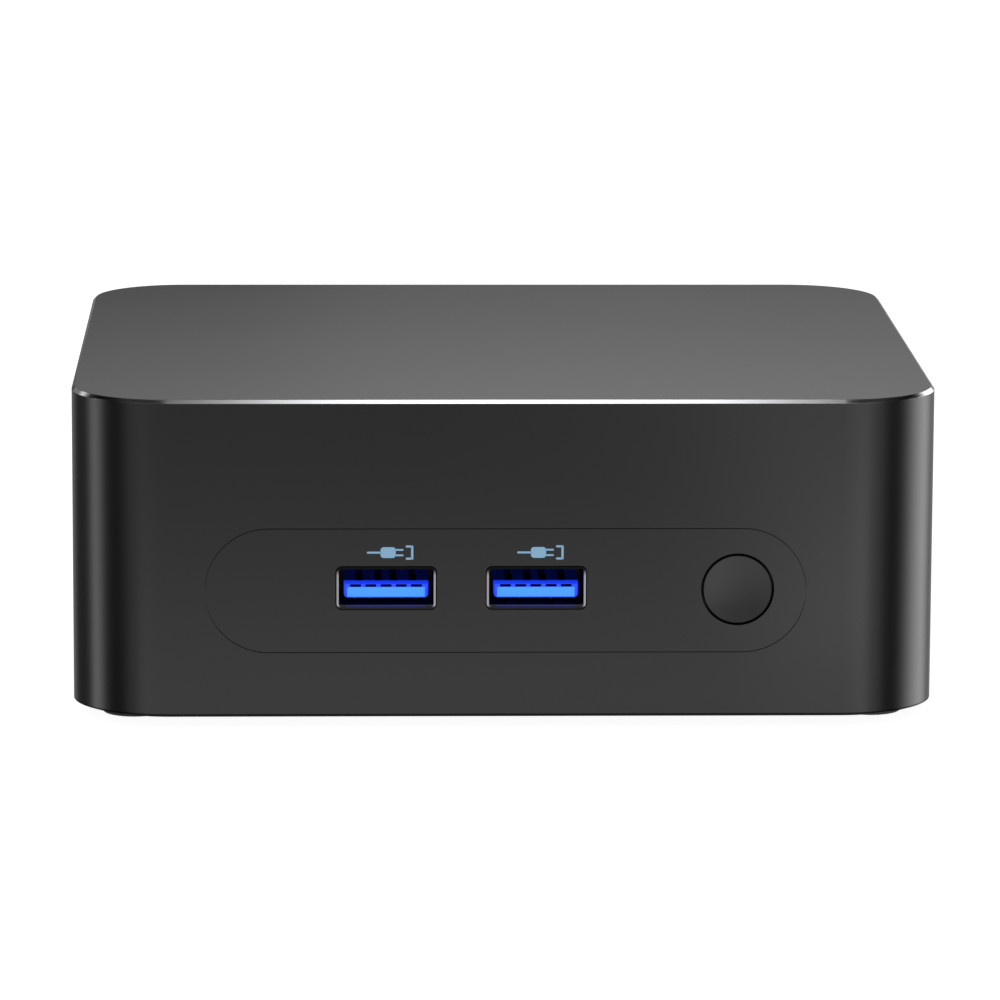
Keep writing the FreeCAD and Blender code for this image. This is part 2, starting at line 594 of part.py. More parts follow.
def audio_jack():
    body = box(-AUDIO_HW, AUDIO_HW, 0.3, AUDIO_DEPTH, -AUDIO_HH, AUDIO_HH)
    collar = barrel(0, 0, 2.45, -PORT_RECESS, 1.0)
    return body.fuse(collar).removeSplitter().cut(barrel(0, 0, AUDIO_BORE_R, -1, AUDIO_BORE_DEPTH))


def save_ports():
    rear = rear_ports()
    usb_places = [(x, USB_Z, False) for x in FRONT_USB_X]
    usb_places += [(REAR_USB_X, USB_Z, True), (REAR_USB_X, USB_Z - USB_STACK_PITCH, True)]
    single = usb_tube([0.0])
    save("front_usb_shells", [place_port(single, x, USB_Z, False) for x in FRONT_USB_X])
    save("rear_usb_shell", place_port(usb_tube([0.0, -USB_STACK_PITCH]), REAR_USB_X, USB_Z, True))
    tongue, contacts = usb_tongue(), usb_contacts()
    save("usb_tongues", [place_port(tongue, *p) for p in usb_places])
    save("usb_contacts", [place_port(c, *p) for p in usb_places for c in contacts])
    hdmi_z = rear[1][1]
    save("hdmi_shells", [place_port(hdmi_shell(), x, hdmi_z, True) for x in HDMI_XS])
    save("hdmi_tongues", [place_port(hdmi_tongue(), x, hdmi_z, True) for x in HDMI_XS])
    eth_z, dc_z, audio_z = rear[4][1], rear[0][1], rear[5][1]
    save("ethernet_shield", place_port(ethernet_shield(), ETH_X, eth_z, True))
    save("ethernet_body", place_port(ethernet_body(), ETH_X, eth_z, True))
    save("ethernet_contacts", [place_port(w, ETH_X, eth_z, True) for w in ethernet_contacts()])
    save("ethernet_lights", [place_port(light, ETH_X, eth_z, True) for light in ethernet_lights()])
    save("dc_jack_body", place_port(dc_jack_body(), DC_X, dc_z, True))
    save("dc_jack_pin", place_port(dc_jack_pin(), DC_X, dc_z, True))
    save("audio_jack", place_port(audio_jack(), AUDIO_X, audio_z, True))


# ==== main board and what is soldered to it =========================================================
def leg_slots():
    """Plated slots in the board for the shells' legs and the switch's leads."""
    z0, z1 = BOARD_Z0 - 1, BOARD_Z1 + 1
    slots = []

    def slot(x, y, at_rear):
        """Slot for a leg that starts y behind its port's rim."""
        near = FRONT + PORT_RECESS + y
        if at_rear:
            near = REAR - PORT_RECESS - y - LEG_W
        slots.append(box(x - 0.45, x + 0.45, near - 0.25, near + LEG_W + 0.25, z0, z1))

    for side in (-1, 1):
        for y in USB_LEG_Y:
            for port_x in FRONT_USB_X:
                slot(port_x + side * (USB_HW - 0.15), y, False)
            slot(REAR_USB_X + side * (USB_HW - 0.15), y, True)
        for port_x in HDMI_XS:
            slot(port_x + side * (HDMI_HW - 0.15), HDMI_LEG_Y, True)
        slot(ETH_X + side * (ETH_HW - 0.15), ETH_LEG_Y, True)
        lead_x = BUTTON_X + side * 2.25
        for y in (SWITCH_BODY_Y[0] + 0.7, SWITCH_BODY_Y[1] - 1.0):
            slots.append(box(lead_x - 0.5, lead_x + 0.5, y - 0.2, y + 0.5, z0, z1))
    return slots


def main_board():
    board = box(-BOARD_HALF_W, BOARD_HALF_W, -BOARD_HALF_D, BOARD_HALF_D, BOARD_Z0, BOARD_Z1)
    cuts = []
    for sx in (-1, 1):
        for sy in (-1, 1):
            x0, x1 = sorted((sx * NOTCH_X, sx * 60))
            y0, y1 = sorted((sy * NOTCH_Y, sy * 60))
            cuts.append(box(x0, x1, y0, y1, BOARD_Z0 - 1, BOARD_Z1 + 1))
    # Room for the button's flange in front of the board.
    cuts.append(box(BUTTON_X - 7, BUTTON_X + 7, -60, -47.4, BOARD_Z0 - 1, BOARD_Z1 + 1))
    cuts += [post(x, y, BOARD_SCREW_R + 0.3, BOARD_Z0 - 1, BOARD_Z1 + 1) for x, y in BOARD_BOSSES]
    return board.cut(cuts + leg_slots())


def soc_package():
    substrate = box(SOC_X - 17.5, SOC_X + 13.5, SOC_Y - 12, SOC_Y + 12, BOARD_Z1 + 0.25, BOARD_Z1 + 1.2)
    die = box(SOC_X - 6, SOC_X + 6, SOC_Y - 4.5, SOC_Y + 4.5, BOARD_Z1 + 1.2, BOARD_Z1 + 1.6)
    solder = box(SOC_X - 16, SOC_X + 12, SOC_Y - 10.5, SOC_Y + 10.5, BOARD_Z1, BOARD_Z1 + 0.25)
    return join([substrate, die, solder])


def power_inductors():
    chokes = []
    for i in range(4):
        x = -42.5 + 8.4 * i
        body = upright_prism(x - 3.2, x + 3.2, -29.4, -23.0, 0.8, BOARD_Z1, BOARD_Z1 + 3.0)
        chokes.append(chamfer_face_rim(body, V(0, 0, 1), BOARD_Z1 + 3.0, 0.3))
    return chokes


def capacitors():
    cans = []
    for x, y in [(-50.7, -32), (-50.7, -25), (-50.7, -18), (2.0, -31.5), (10.0, -31.5), (49.5, -28), (49.5, 10)]:
        can = post(x, y, 2.6, BOARD_Z1 + 0.8, BOARD_Z1 + 6.0)
        can = chamfer_face_rim(can, V(0, 0, 1), BOARD_Z1 + 6.0, 0.3)
        foot = box(x - 2.8, x + 2.8, y - 2.8, y + 2.8, BOARD_Z1, BOARD_Z1 + 0.8)
        cans.append(can.fuse(foot).removeSplitter())
    return cans


def board_chips():
    """(x, y, half length, half width, height, on the upper face) of each chip."""
    layout = [
        (6, -16, 3.5, 3.5, 0.9, True), (24, 22, 3, 3, 0.9, True), (30, -12, 4, 3, 1.0, True),
        (-2, 26, 2.6, 2, 1.4, True), (22, -33, 5, 4, 1.1, True), (34, -38, 2.6, 2, 1.4, True),
        (5.5, -39.5, 3, 3, 0.9, True), (-41, 30, 4, 4, 1.0, True),
        (-44, -6, 3, 3, 0.9, False), (-46, -20, 4, 4, 1.0, False), (47, -14, 3, 3, 0.9, False),
        (12, -34, 2.6, 2, 1.2, False), (-28, -36, 4, 3, 1.0, False), (22, 34, 3, 2.5, 1.0, False),
        (6, 35, 3, 2.5, 1.0, False), (42.5, -24, 1.8, 1.5, 0.9, False),
    ]
    chips = []
    for x, y, hl, hw, h, upper in layout:
        z0, z1 = (BOARD_Z1, BOARD_Z1 + h) if upper else (BOARD_Z0 - h, BOARD_Z0)
        chips.append(box(x - hl, x + hl, y - hw, y + hw, z0, z1))
    return chips


def board_screws():
    head_z = BOARD_Z0 - 1.5
    screws = []
    for x, y in BOARD_BOSSES:
        head = post(x, y, 2.3, head_z, BOARD_Z0 - TOUCH)
        head = chamfer_face_rim(head, V(0, 0, -1), -head_z, 0.3)
        shank = post(x, y, BOARD_SCREW_R, BOARD_Z0 - 0.1, BOARD_Z1 + 5.5)
        cross = [box(x - 1.2, x + 1.2, y - 0.25, y + 0.25, head_z - 1, head_z + 0.7),
                 box(x - 0.25, x + 0.25, y - 1.2, y + 1.2, head_z - 1, head_z + 0.7)]
        screws.append(head.fuse(shank).removeSplitter().cut(cross))
    return screws


def clock_battery():
    """Coin cell in a shrink sleeve, with its lead to the board."""
    x, y, r, h = -31.0, -37.0, 6.6, 2.6
    z0 = BOARD_Z1 + TOUCH
    cell = post(x, y, r, z0, z0 + h)
    cell = chamfer_face_rim(cell, V(0, 0, 1), z0 + h, 0.5)
    plug = box(-8.2, -4.2, -47.5, -44.5, BOARD_Z1, BOARD_Z1 + 2.6)
    lead_z = z0 + h / 2
    path = [(x + r + TOUCH, y, lead_z), (-17.0, -36.2, lead_z), (-6.2, -38.5, lead_z), (-6.2, -44.48, lead_z)]
    lead = tube_along(path, 0.55, 3.0)
    return [cell, plug, lead]


# ==== memory, storage, radio ========================================================================
def ram_socket():
    """Edge connector with two side arms; the module lies level under the board."""
    z0, z1 = 17.3, BOARD_Z0 - TOUCH
    outer = RAM_HALF_W + 2.6
    housing = box(RAM_X - outer, RAM_X + outer, RAM_Y1 - 4.5, RAM_Y1 + 2.0, z0, z1)
    housing = housing.cut(box(RAM_X - RAM_HALF_W - 0.1, RAM_X + RAM_HALF_W + 0.1, RAM_Y1 - 6, RAM_Y1 + 0.1,
                              RAM_Z0 - 0.1, RAM_Z1 + 0.1))
    arms = [box(min(a, b), max(a, b), -12.0, RAM_Y1 - 4.4, z0 + 0.6, z1)
            for a, b in ((RAM_X - outer, RAM_X - RAM_HALF_W - 0.2), (RAM_X + RAM_HALF_W + 0.2, RAM_X + outer))]
    return join([housing] + arms)


LATCH_PIVOT_Y = -12.7
LATCH_OFFSET = RAM_HALF_W + 1.35


def ram_latch(side):
    """Sprung side latch whose hook holds the module's edge; side is -1 or 1."""
    x = RAM_X + side * LATCH_OFFSET

    def span(near, far):
        return sorted((RAM_X + side * (RAM_HALF_W + near), RAM_X + side * (RAM_HALF_W + far)))

    knuckle = post(x, LATCH_PIVOT_Y, 0.6, 17.6, 21.2)
    x0, x1 = span(1.1, 1.6)
    blade = box(x0, x1, -27.0, LATCH_PIVOT_Y, 17.6, 21.2)
    hx0, hx1 = span(-0.6, 1.2)
    hook = box(hx0, hx1, -27.0, -24.0, 17.6, RAM_Z0 - 0.08)
    tx0, tx1 = span(1.2, 3.0)
    tab = box(tx0, tx1, -27.6, -26.9, 18.2, 20.6)
    return join([knuckle, blade, hook, tab])


def ram_module():
    card = box(RAM_X - RAM_HALF_W, RAM_X + RAM_HALF_W, RAM_Y0, RAM_Y1, RAM_Z0, RAM_Z1)
    key = box(RAM_X - 2.3, RAM_X - 0.8, RAM_Y1 - 4.0, RAM_Y1 + 1, RAM_Z0 - 1, RAM_Z1 + 1)
    notches = [post(RAM_X + s * RAM_HALF_W, -16.5, 1.5, RAM_Z0 - 1, RAM_Z1 + 1) for s in (-1, 1)]
    return card.cut([key] + notches)


def ram_chips():
    chips = []
    for i in range(4):
        x = RAM_X + (i - 1.5) * 14.6
        for z0, z1 in ((RAM_Z0 - 1.0, RAM_Z0), (RAM_Z1, RAM_Z1 + 1.0)):
            chips.append(box(x - 4.6, x + 4.6, -24.0, -11.5, z0, z1))
    return chips


def card_socket(x0, x1, y_centre, card_z0, card_z1):
    """M.2 edge socket hanging from the board, open towards -X."""
    body = box(x0, x1, y_centre - 11.6, y_centre + 11.6, card_z0 - 1.0, BOARD_Z0 - TOUCH)
    mouth = box(x0 - 1, x1 - 2.5, y_centre - SSD_HALF_D - 0.1, y_centre + SSD_HALF_D + 0.1,
                card_z0 - 0.08, card_z1 + 0.08)
    return body.cut(mouth)


def ssd_card():
    card = box(SSD_X0, SSD_X1, SSD_Y - SSD_HALF_D, SSD_Y + SSD_HALF_D, SSD_Z0, SSD_Z1)
    half_hole = post(SSD_X0, SSD_Y, 1.75, SSD_Z0 - 1, SSD_Z1 + 1)
    key = box(SSD_X1 - 3.5, SSD_X1 + 1, SSD_Y + 4.4, SSD_Y + 5.6, SSD_Z0 - 1, SSD_Z1 + 1)
    return card.cut([half_hole, key])


def ssd_chips():
    z0, z1 = SSD_Z0 - 1.2, SSD_Z0
    spans = [(-33, -20), (-16, -3), (2, 12), (16, 29)]
    return [box(a, b, SSD_Y - 8.5, SSD_Y + 8.5, z0, z1) for a, b in spans]


def wifi_card():
    card = box(WIFI_X0, WIFI_X1, SSD_Y - SSD_HALF_D, SSD_Y + SSD_HALF_D, WIFI_Z0, WIFI_Z1)
    card = card.cut(post(WIFI_X0, SSD_Y, 1.75, WIFI_Z0 - 1, WIFI_Z1 + 1))
    can = box(0.5, 18.5, SSD_Y - 9.5, SSD_Y + 9.5, WIFI_Z0 - 1.3, WIFI_Z0 - TOUCH)
    can = chamfer_face_rim(can, V(0, 0, -1), -(WIFI_Z0 - 1.3), 0.3)
    sockets = [post(-2.6, SSD_Y + dy, 0.95, WIFI_Z0 - 0.9, WIFI_Z0 - TOUCH) for dy in (-7.5, 7.5)]
    return [card, can] + sockets


def card_standoffs():
    """Threaded pillars that hold the free ends of the two cards."""
    ends = [(SSD_X0, SSD_Z1), (WIFI_X0, WIFI_Z1)]
    return [ring(x, SSD_Y, 2.5, 1.05, z + TOUCH, BOARD_Z0 - TOUCH) for x, z in ends]


def card_screws():
    screws = []
    for x, z0, z1 in ((SSD_X0, SSD_Z0, SSD_Z1), (WIFI_X0, WIFI_Z0, WIFI_Z1)):
        head = post(x, SSD_Y, 2.4, z0 - 0.9, z0 - TOUCH)
        shank = post(x, SSD_Y, 1.0, z0 - 0.1, z1 + 1.6)
        cross = [box(x - 1.1, x + 1.1, SSD_Y - 0.2, SSD_Y + 0.2, z0 - 2, z0 - 0.5),
                 box(x - 0.2, x + 0.2, SSD_Y - 1.1, SSD_Y + 1.1, z0 - 2, z0 - 0.5)]
        screws.append(head.fuse(shank).removeSplitter().cut(cross))
    return screws


def antenna_cables():
    """Coaxial leads from the radio card's two sockets, under the memory, to the strips on the side walls."""
    r = 0.55
    z = WIFI_Z0 - 0.9 - TOUCH - r
    wall = INNER_SIDE - ANTENNA_T - TOUCH - r
    left = [(-2.6, SSD_Y + 7.5, z), (-8.0, 29.7, 16.8), (-44.0, 29.7, 14.5), (-wall, 17.0, 11.5), (-wall, 6.0, 11.5)]
    right = [(-2.6, SSD_Y - 7.5, z), (-8.4, 4.2, 16.2), (-43.0, 1.5, 14.0), (-46.5, -20.0, 12.0),
             (-39.0, -32.0, 11.0), (42.0, -32.0, 11.0), (wall, -19.0, 11.5), (wall, -6.0, 11.5)]
    return [tube_along(left, r, 4.0), tube_along(right, r, 4.0)]


def antennas():
    z0, z1 = 7.0, 17.0
    strips = []
    for side in (-1, 1):
        x0, x1 = sorted((side * (INNER_SIDE - ANTENNA_T), side * (INNER_SIDE - TOUCH)))
        strips.append(box(x0, x1, -18, 18, z0, z1))
    return strips


# ==== cooler ========================================================================================
def cold_plate():
    x0, x1, y0, y1 = COLD_PLATE
    plate = upright_prism(x0, x1, y0, y1, 2.0, COLD_Z0, COLD_Z1)
    return plate.cut([post(x, y, 1.5, COLD_Z0 - 1, COLD_Z1 + 1) for x, y in cooler_corners()])


def cooler_corners():
    x0, x1, y0, y1 = COLD_PLATE
    return [(x, y) for x in (x0 + 3.4, x1 - 3.4) for y in (y0 + 3.2, y1 - 3.2)]


def cooler_screws():
    screws = []
    for x, y in cooler_corners():
        head = post(x, y, 2.7, 31.6, 33.0)
        shoulder = post(x, y, 1.35, COLD_Z1 - 2.3, 31.7)
        thread = post(x, y, 1.0, BOARD_Z1 + 0.15, COLD_Z1 - 2.2)
        cross = [box(x - 1.3, x + 1.3, y - 0.3, y + 0.3, 32.2, 34), box(x - 0.3, x + 0.3, y - 1.3, y + 1.3, 32.2, 34)]
        screws.append(join([head, shoulder, thread]).cut(cross))
    return screws


def cooler_springs():
    """One coil spring under each cooler screw's head."""
    wire_r, coil_r, turns = 0.25, 1.85, 3
    z0, z1 = COLD_Z1 + wire_r + TOUCH, 31.6 - wire_r - TOUCH
    springs = []
    for x, y in cooler_corners():
        path = Part.makeHelix((z1 - z0) / turns, z1 - z0, coil_r)
        profile = Part.Wire([Part.Circle(V(coil_r, 0, 0), V(0, 1, 0), wire_r).toShape()])
        coil = Part.Wire(path.Edges).makePipeShell([profile], True, True)
        coil.translate(V(x, y, z0))
        springs.append(coil)
    return springs


def cooler_standoffs():
    return [ring(x, y, 2.4, 1.03, BOARD_Z1, COLD_Z0 - TOUCH) for x, y in cooler_corners()]


def pipe_profile(place, grow):
    w, h = PIPE_W / 2 + grow, PIPE_H / 2 + grow
    return Part.Face(rounded_wire(-w, w, -h, h, h, place))


def heat_pipe():
    """Flattened pipe: along Y over the cold plate, round a bend, then along X through the fins."""
    zc = COLD_Z1 + TOUCH + PIPE_H / 2
    bend_x, bend_y = SOC_X + PIPE_BEND, PIPE_Y - PIPE_BEND
    start_y = COLD_PLATE[2] + 2
    first = pipe_profile(lambda u, v: V(SOC_X + u, start_y, zc + v), 0).extrude(V(0, bend_y - start_y, 0))
    turn = pipe_profile(lambda u, v: V(SOC_X + u, bend_y, zc + v), 0).revolve(V(bend_x, bend_y, 0), V(0, 0, 1), -90)
    last = pipe_profile(lambda u, v: V(bend_x, PIPE_Y - u, zc + v), 0).extrude(V(FINS_X1 + 0.6 - bend_x, 0, 0))
    return join([first, turn, last])


def fin_stack():
    zc = COLD_Z1 + TOUCH + PIPE_H / 2
    blank = box(FINS_X0, FINS_X0 + FIN_T, FAN_Y1 + 0.4, INNER_REAR - FLANGE_T - 0.3, 25.4, 39.6)
    slot = pipe_profile(lambda u, v: V(FINS_X0 - 1, PIPE_Y - u, zc + v), 0.05).extrude(V(3, 0, 0))
    fin = blank.cut(slot)
    fins = []
    for i in range(int((FINS_X1 - FINS_X0) / FIN_PITCH) + 1):
        copy = fin.copy()
        copy.translate(V(i * FIN_PITCH, 0, 0))
        fins.append(copy)
    return fins


def fan_frame():
    """Blower housing: floor, scroll wall open towards the fins, bearing tube and pillars to the board."""
    z_wall = FAN_Z0 + FAN_FLOOR
    outer = upright_prism(FAN_X0, FAN_X1, FAN_Y0, FAN_Y1, 2.0, FAN_Z0, FAN_Z1)
    cavity = post(FAN_X, FAN_Y, SCROLL_R, z_wall, FAN_Z1 + 1)
    outlet = box(FAN_X - SCROLL_R, FAN_X + SCROLL_R, FAN_Y, FAN_Y1 + 5, z_wall, FAN_Z1 + 1)
    frame = outer.cut([cavity, outlet])
    reach = FAN_X + SCROLL_R + 0.4
    cutoff = polygon_prism([(reach, FAN_Y + 4, z_wall - 0.5), (reach, FAN_Y + 25, z_wall - 0.5),
                            (FAN_X + 19.6, FAN_Y + 13.2, z_wall - 0.5)], (0, 0, FAN_Z1 - z_wall + 0.5))
    tube = post(FAN_X, FAN_Y, BEARING_R + 0.7, z_wall - 0.5, z_wall + 6.6)
    pillars = [post(x, y, 2.0, BOARD_Z1 + TOUCH, z_wall) for x, y in FAN_SCREWS]
    frame = join([frame, cutoff, tube] + pillars)
    holes = [post(x, y, 1.15, BOARD_Z1 - 1, FAN_Z1 + 1) for x, y in FAN_SCREWS]
    holes.append(post(FAN_X, FAN_Y, BEARING_R + 0.01, z_wall - 0.4, FAN_Z1))
    inlet = ring(FAN_X, FAN_Y, 16.5, 9.5, FAN_Z0 - 1, z_wall + 0.1)
    for i in range(3):
        spoke = box(FAN_X, FAN_X + 20, FAN_Y - 1.5, FAN_Y + 1.5, FAN_Z0 - 2, z_wall + 1)
        spoke.rotate(V(FAN_X, FAN_Y, 0), V(0, 0, 1), 120 * i + 90)
        inlet = inlet.cut(spoke)
    return frame.cut(holes + [inlet])


def fan_cover():
    plate = upright_prism(FAN_X0, FAN_X1, FAN_Y0, FAN_Y1, 2.0, FAN_Z1 + TOUCH, FAN_Z1 + FAN_COVER_T)
    holes = [post(x, y, 1.15, FAN_Z1 - 1, FAN_Z1 + 2) for x, y in FAN_SCREWS]
    return plate.cut([post(FAN_X, FAN_Y, 16.5, FAN_Z1 - 1, FAN_Z1 + 2)] + holes)


def fan_screws():
    screws = []
    top = FAN_Z1 + FAN_COVER_T + TOUCH
    for x, y in FAN_SCREWS:
        head = post(x, y, 1.9, top, top + 1.1)
        shank = post(x, y, 1.0, BOARD_Z1 + 0.3, top + 0.1)
        cross = [box(x - 1.0, x + 1.0, y - 0.2, y + 0.2, top + 0.5, top + 2),
                 box(x - 0.2, x + 0.2, y - 1.0, y + 1.0, top + 0.5, top + 2)]
        screws.append(head.fuse(shank).removeSplitter().cut(cross))
    return screws


def blade(angle, z0, z1):
    """One swept-back blade, as a strip between two arcs."""
    r_in, r_out, thick, sweep = 14.0, ROTOR_R - 0.1, 0.6, 24.0

    def at(r, degrees, shift):
        a = math.radians(degrees)
        side = V(-math.sin(a), math.cos(a), 0) * shift
        return V(FAN_X + r * math.cos(a), FAN_Y + r * math.sin(a), z0) + side

    stations = [(r_in, 0.0), ((r_in + r_out) / 2, -0.38 * sweep), (r_out, -sweep)]
    one = [at(r, angle + a, thick / 2) for r, a in stations]
    two = [at(r, angle + a, -thick / 2) for r, a in stations]
    edges = [Part.Arc(*one).toShape(), Part.LineSegment(one[2], two[2]).toShape(),
             Part.Arc(two[2], two[1], two[0]).toShape(), Part.LineSegment(two[0], one[0]).toShape()]
    return Part.Face(Part.Wire(edges)).extrude(V(0, 0, z1 - z0))


ROTOR_Z0 = FAN_Z0 + FAN_FLOOR + 0.9
ROTOR_Z1 = FAN_Z1 - 1.0


def fan_impeller():
    """Hub cup, floor ring and swept-back blades, all one moulding."""
    cup = post(FAN_X, FAN_Y, HUB_R, ROTOR_Z0, ROTOR_Z1 + 0.3)
    cup = chamfer_face_rim(cup, V(0, 0, 1), ROTOR_Z1 + 0.3, 0.6)
    floor_ring = post(FAN_X, FAN_Y, ROTOR_R, ROTOR_Z0, ROTOR_Z0 + 0.8)
    count = 25
    blades = [blade(i * 360.0 / count, ROTOR_Z0 + 0.5, ROTOR_Z1 - 0.4) for i in range(count)]
    tie_ring = ring(FAN_X, FAN_Y, ROTOR_R, ROTOR_R - 1.6, ROTOR_Z1 - 0.9, ROTOR_Z1 - 0.3)
    body = join([cup, floor_ring, tie_ring] + blades)
    hollow = post(FAN_X, FAN_Y, HUB_INNER_R, ROTOR_Z0 - 1, ROTOR_Z1 - 0.8)
    shaft_hole = post(FAN_X, FAN_Y, SHAFT_R + 0.01, ROTOR_Z0, ROTOR_Z1 - 0.1)
    return body.cut([hollow, shaft_hole])


def fan_magnet():
    return ring(FAN_X, FAN_Y, HUB_INNER_R - TOUCH, 8.2, ROTOR_Z0 + 0.2, ROTOR_Z1 - 1.2)


def fan_shaft():
    return post(FAN_X, FAN_Y, SHAFT_R, FAN_Z0 + FAN_FLOOR - 0.1, ROTOR_Z1 - 0.15)


def fan_bearing():
    z0 = FAN_Z0 + FAN_FLOOR - 0.35
    return ring(FAN_X, FAN_Y, BEARING_R, SHAFT_R + RUNNING_GAP, z0, FAN_Z0 + FAN_FLOOR + 6.5)


def fan_stator():
    """Laminated core with four wound poles round the bearing tube."""
    z0 = FAN_Z0 + FAN_FLOOR + 1.2
    core = ring(FAN_X, FAN_Y, 4.6, BEARING_R + 0.75, z0, z0 + 5.0)
    parts = [core]
    for i in range(4):
        arm = box(FAN_X + 4.0, FAN_X + 7.0, FAN_Y - 1.1, FAN_Y + 1.1, z0 + 1.0, z0 + 4.0)
        coil = box(FAN_X + 4.8, FAN_X + 6.4, FAN_Y - 1.9, FAN_Y + 1.9, z0 + 0.3, z0 + 4.7)
        shoe = ring(FAN_X, FAN_Y, 7.9, 6.8, z0 + 1.0, z0 + 4.0)
        wedge = polygon_prism([(FAN_X, FAN_Y, z0), (FAN_X + 9, FAN_Y - 6, z0), (FAN_X + 9, FAN_Y + 6, z0)], (0, 0, 5))
        pole = join([arm, coil, shoe.common(wedge)])
        pole.rotate(V(FAN_X, FAN_Y, 0), V(0, 0, 1), 90 * i)
        parts.append(pole)
    return join(parts)


def fan_cable():
    """Plug, and the lead that runs to it from the blower's front wall."""
    plug = box(17.0, 23.0, -46.5, -42.5, BOARD_Z1, BOARD_Z1 + 3.4)
    path = [(14.0, FAN_Y0 - TOUCH, 30.0), (14.0, -30.0, 30.0), (20.0, -38.0, 25.2), (20.0, -42.5 + TOUCH, 25.2)]
    return [plug, tube_along(path, 0.9, 3.0)]


# ==== build =========================================================================================
def build():
    os.makedirs(OUT, exist_ok=True)
    pieces = {
        "case_shell": case_shell, "front_bezel": front_bezel, "rear_io_panel": rear_io_panel,
        "base_plate": base_plate, "rubber_feet": rubber_feet, "base_screws": base_screws,
        "case_inserts": case_inserts, "vesa_inserts": vesa_inserts,
        "power_button_cap": power_button_cap, "power_switch_body": power_switch_body,
        "power_switch_actuator": power_switch_actuator,
        "main_board": main_board, "soc_package": soc_package, "power_inductors": power_inductors,
        "capacitors": capacitors, "board_chips": board_chips, "board_screws": board_screws,
        "clock_battery": clock_battery,
        "ram_socket": ram_socket, "ram_module": ram_module, "ram_chips": ram_chips,
        "ssd_card": ssd_card, "ssd_chips": ssd_chips, "wifi_card": wifi_card,
        "card_standoffs": card_standoffs, "card_screws": card_screws,
        "antenna_cables": antenna_cables, "antennas": antennas,
        "cold_plate": cold_plate, "cooler_screws": cooler_screws, "cooler_springs": cooler_springs,
        "cooler_standoffs": cooler_standoffs, "heat_pipe": heat_pipe, "fin_stack": fin_stack,
        "fan_frame": fan_frame, "fan_cover": fan_cover, "fan_screws": fan_screws,
        "fan_impeller": fan_impeller, "fan_magnet": fan_magnet, "fan_shaft": fan_shaft,
        "fan_bearing": fan_bearing, "fan_stator": fan_stator, "fan_cable": fan_cable,
    }
    for name, make in pieces.items():
        save(name, make())
    save("ram_latch_left", ram_latch(-1))
    save("ram_latch_right", ram_latch(1))
    save("ssd_socket", card_socket(38.0, 46.5, SSD_Y, SSD_Z0, SSD_Z1))
    save("wifi_socket", card_socket(21.5, 29.0, SSD_Y, WIFI_Z0, WIFI_Z1))
    save_ports()


build()
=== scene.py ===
import json
import math
import random

import bmesh
import bpy
from mathutils import Matrix, Vector
from mathutils.bvhtree import BVHTree

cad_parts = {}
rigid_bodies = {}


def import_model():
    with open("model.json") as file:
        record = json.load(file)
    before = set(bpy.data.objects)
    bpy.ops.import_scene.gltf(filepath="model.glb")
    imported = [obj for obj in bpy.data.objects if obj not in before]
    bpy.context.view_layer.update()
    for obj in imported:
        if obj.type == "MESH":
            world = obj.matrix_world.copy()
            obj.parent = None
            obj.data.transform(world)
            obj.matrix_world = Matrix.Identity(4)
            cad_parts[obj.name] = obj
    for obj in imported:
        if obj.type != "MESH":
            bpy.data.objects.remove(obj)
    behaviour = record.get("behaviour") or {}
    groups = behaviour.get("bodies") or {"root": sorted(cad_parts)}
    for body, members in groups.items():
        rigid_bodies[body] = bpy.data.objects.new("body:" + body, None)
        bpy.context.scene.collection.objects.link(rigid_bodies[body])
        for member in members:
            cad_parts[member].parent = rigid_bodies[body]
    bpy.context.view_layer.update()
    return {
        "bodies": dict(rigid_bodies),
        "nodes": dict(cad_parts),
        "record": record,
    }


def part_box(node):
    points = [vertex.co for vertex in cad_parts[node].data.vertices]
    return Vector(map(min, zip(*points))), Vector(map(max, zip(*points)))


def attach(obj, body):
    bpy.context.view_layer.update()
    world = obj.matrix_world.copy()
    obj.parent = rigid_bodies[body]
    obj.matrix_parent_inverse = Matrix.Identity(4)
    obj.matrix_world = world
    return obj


# Looks of the mini PC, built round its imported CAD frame. Metres, same frame as the CAD:
# origin at the centre of the plane under the feet, +Z up, the front faces -Y.

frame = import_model()
NODES = frame["nodes"]
MM = 0.001

case_lo, case_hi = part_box("case_shell")
bezel_lo, bezel_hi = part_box("front_bezel")
FRONT_Y = case_lo.y
REAR_Y = case_hi.y
TOP_Z = case_hi.z
PANEL_Z = (bezel_lo.z + bezel_hi.z) / 2
BEVEL = 0.45 * MM

MOUNT_AT = {m["name"]: Vector(m["pos_m"]) for m in frame["record"]["mounts"]}
FRONT_USB = [MOUNT_AT["usb_front_left"], MOUNT_AT["usb_front_right"]]
REAR_USB = MOUNT_AT["usb_rear_upper"]
USB_PITCH = REAR_USB.z - MOUNT_AT["usb_rear_lower"].z


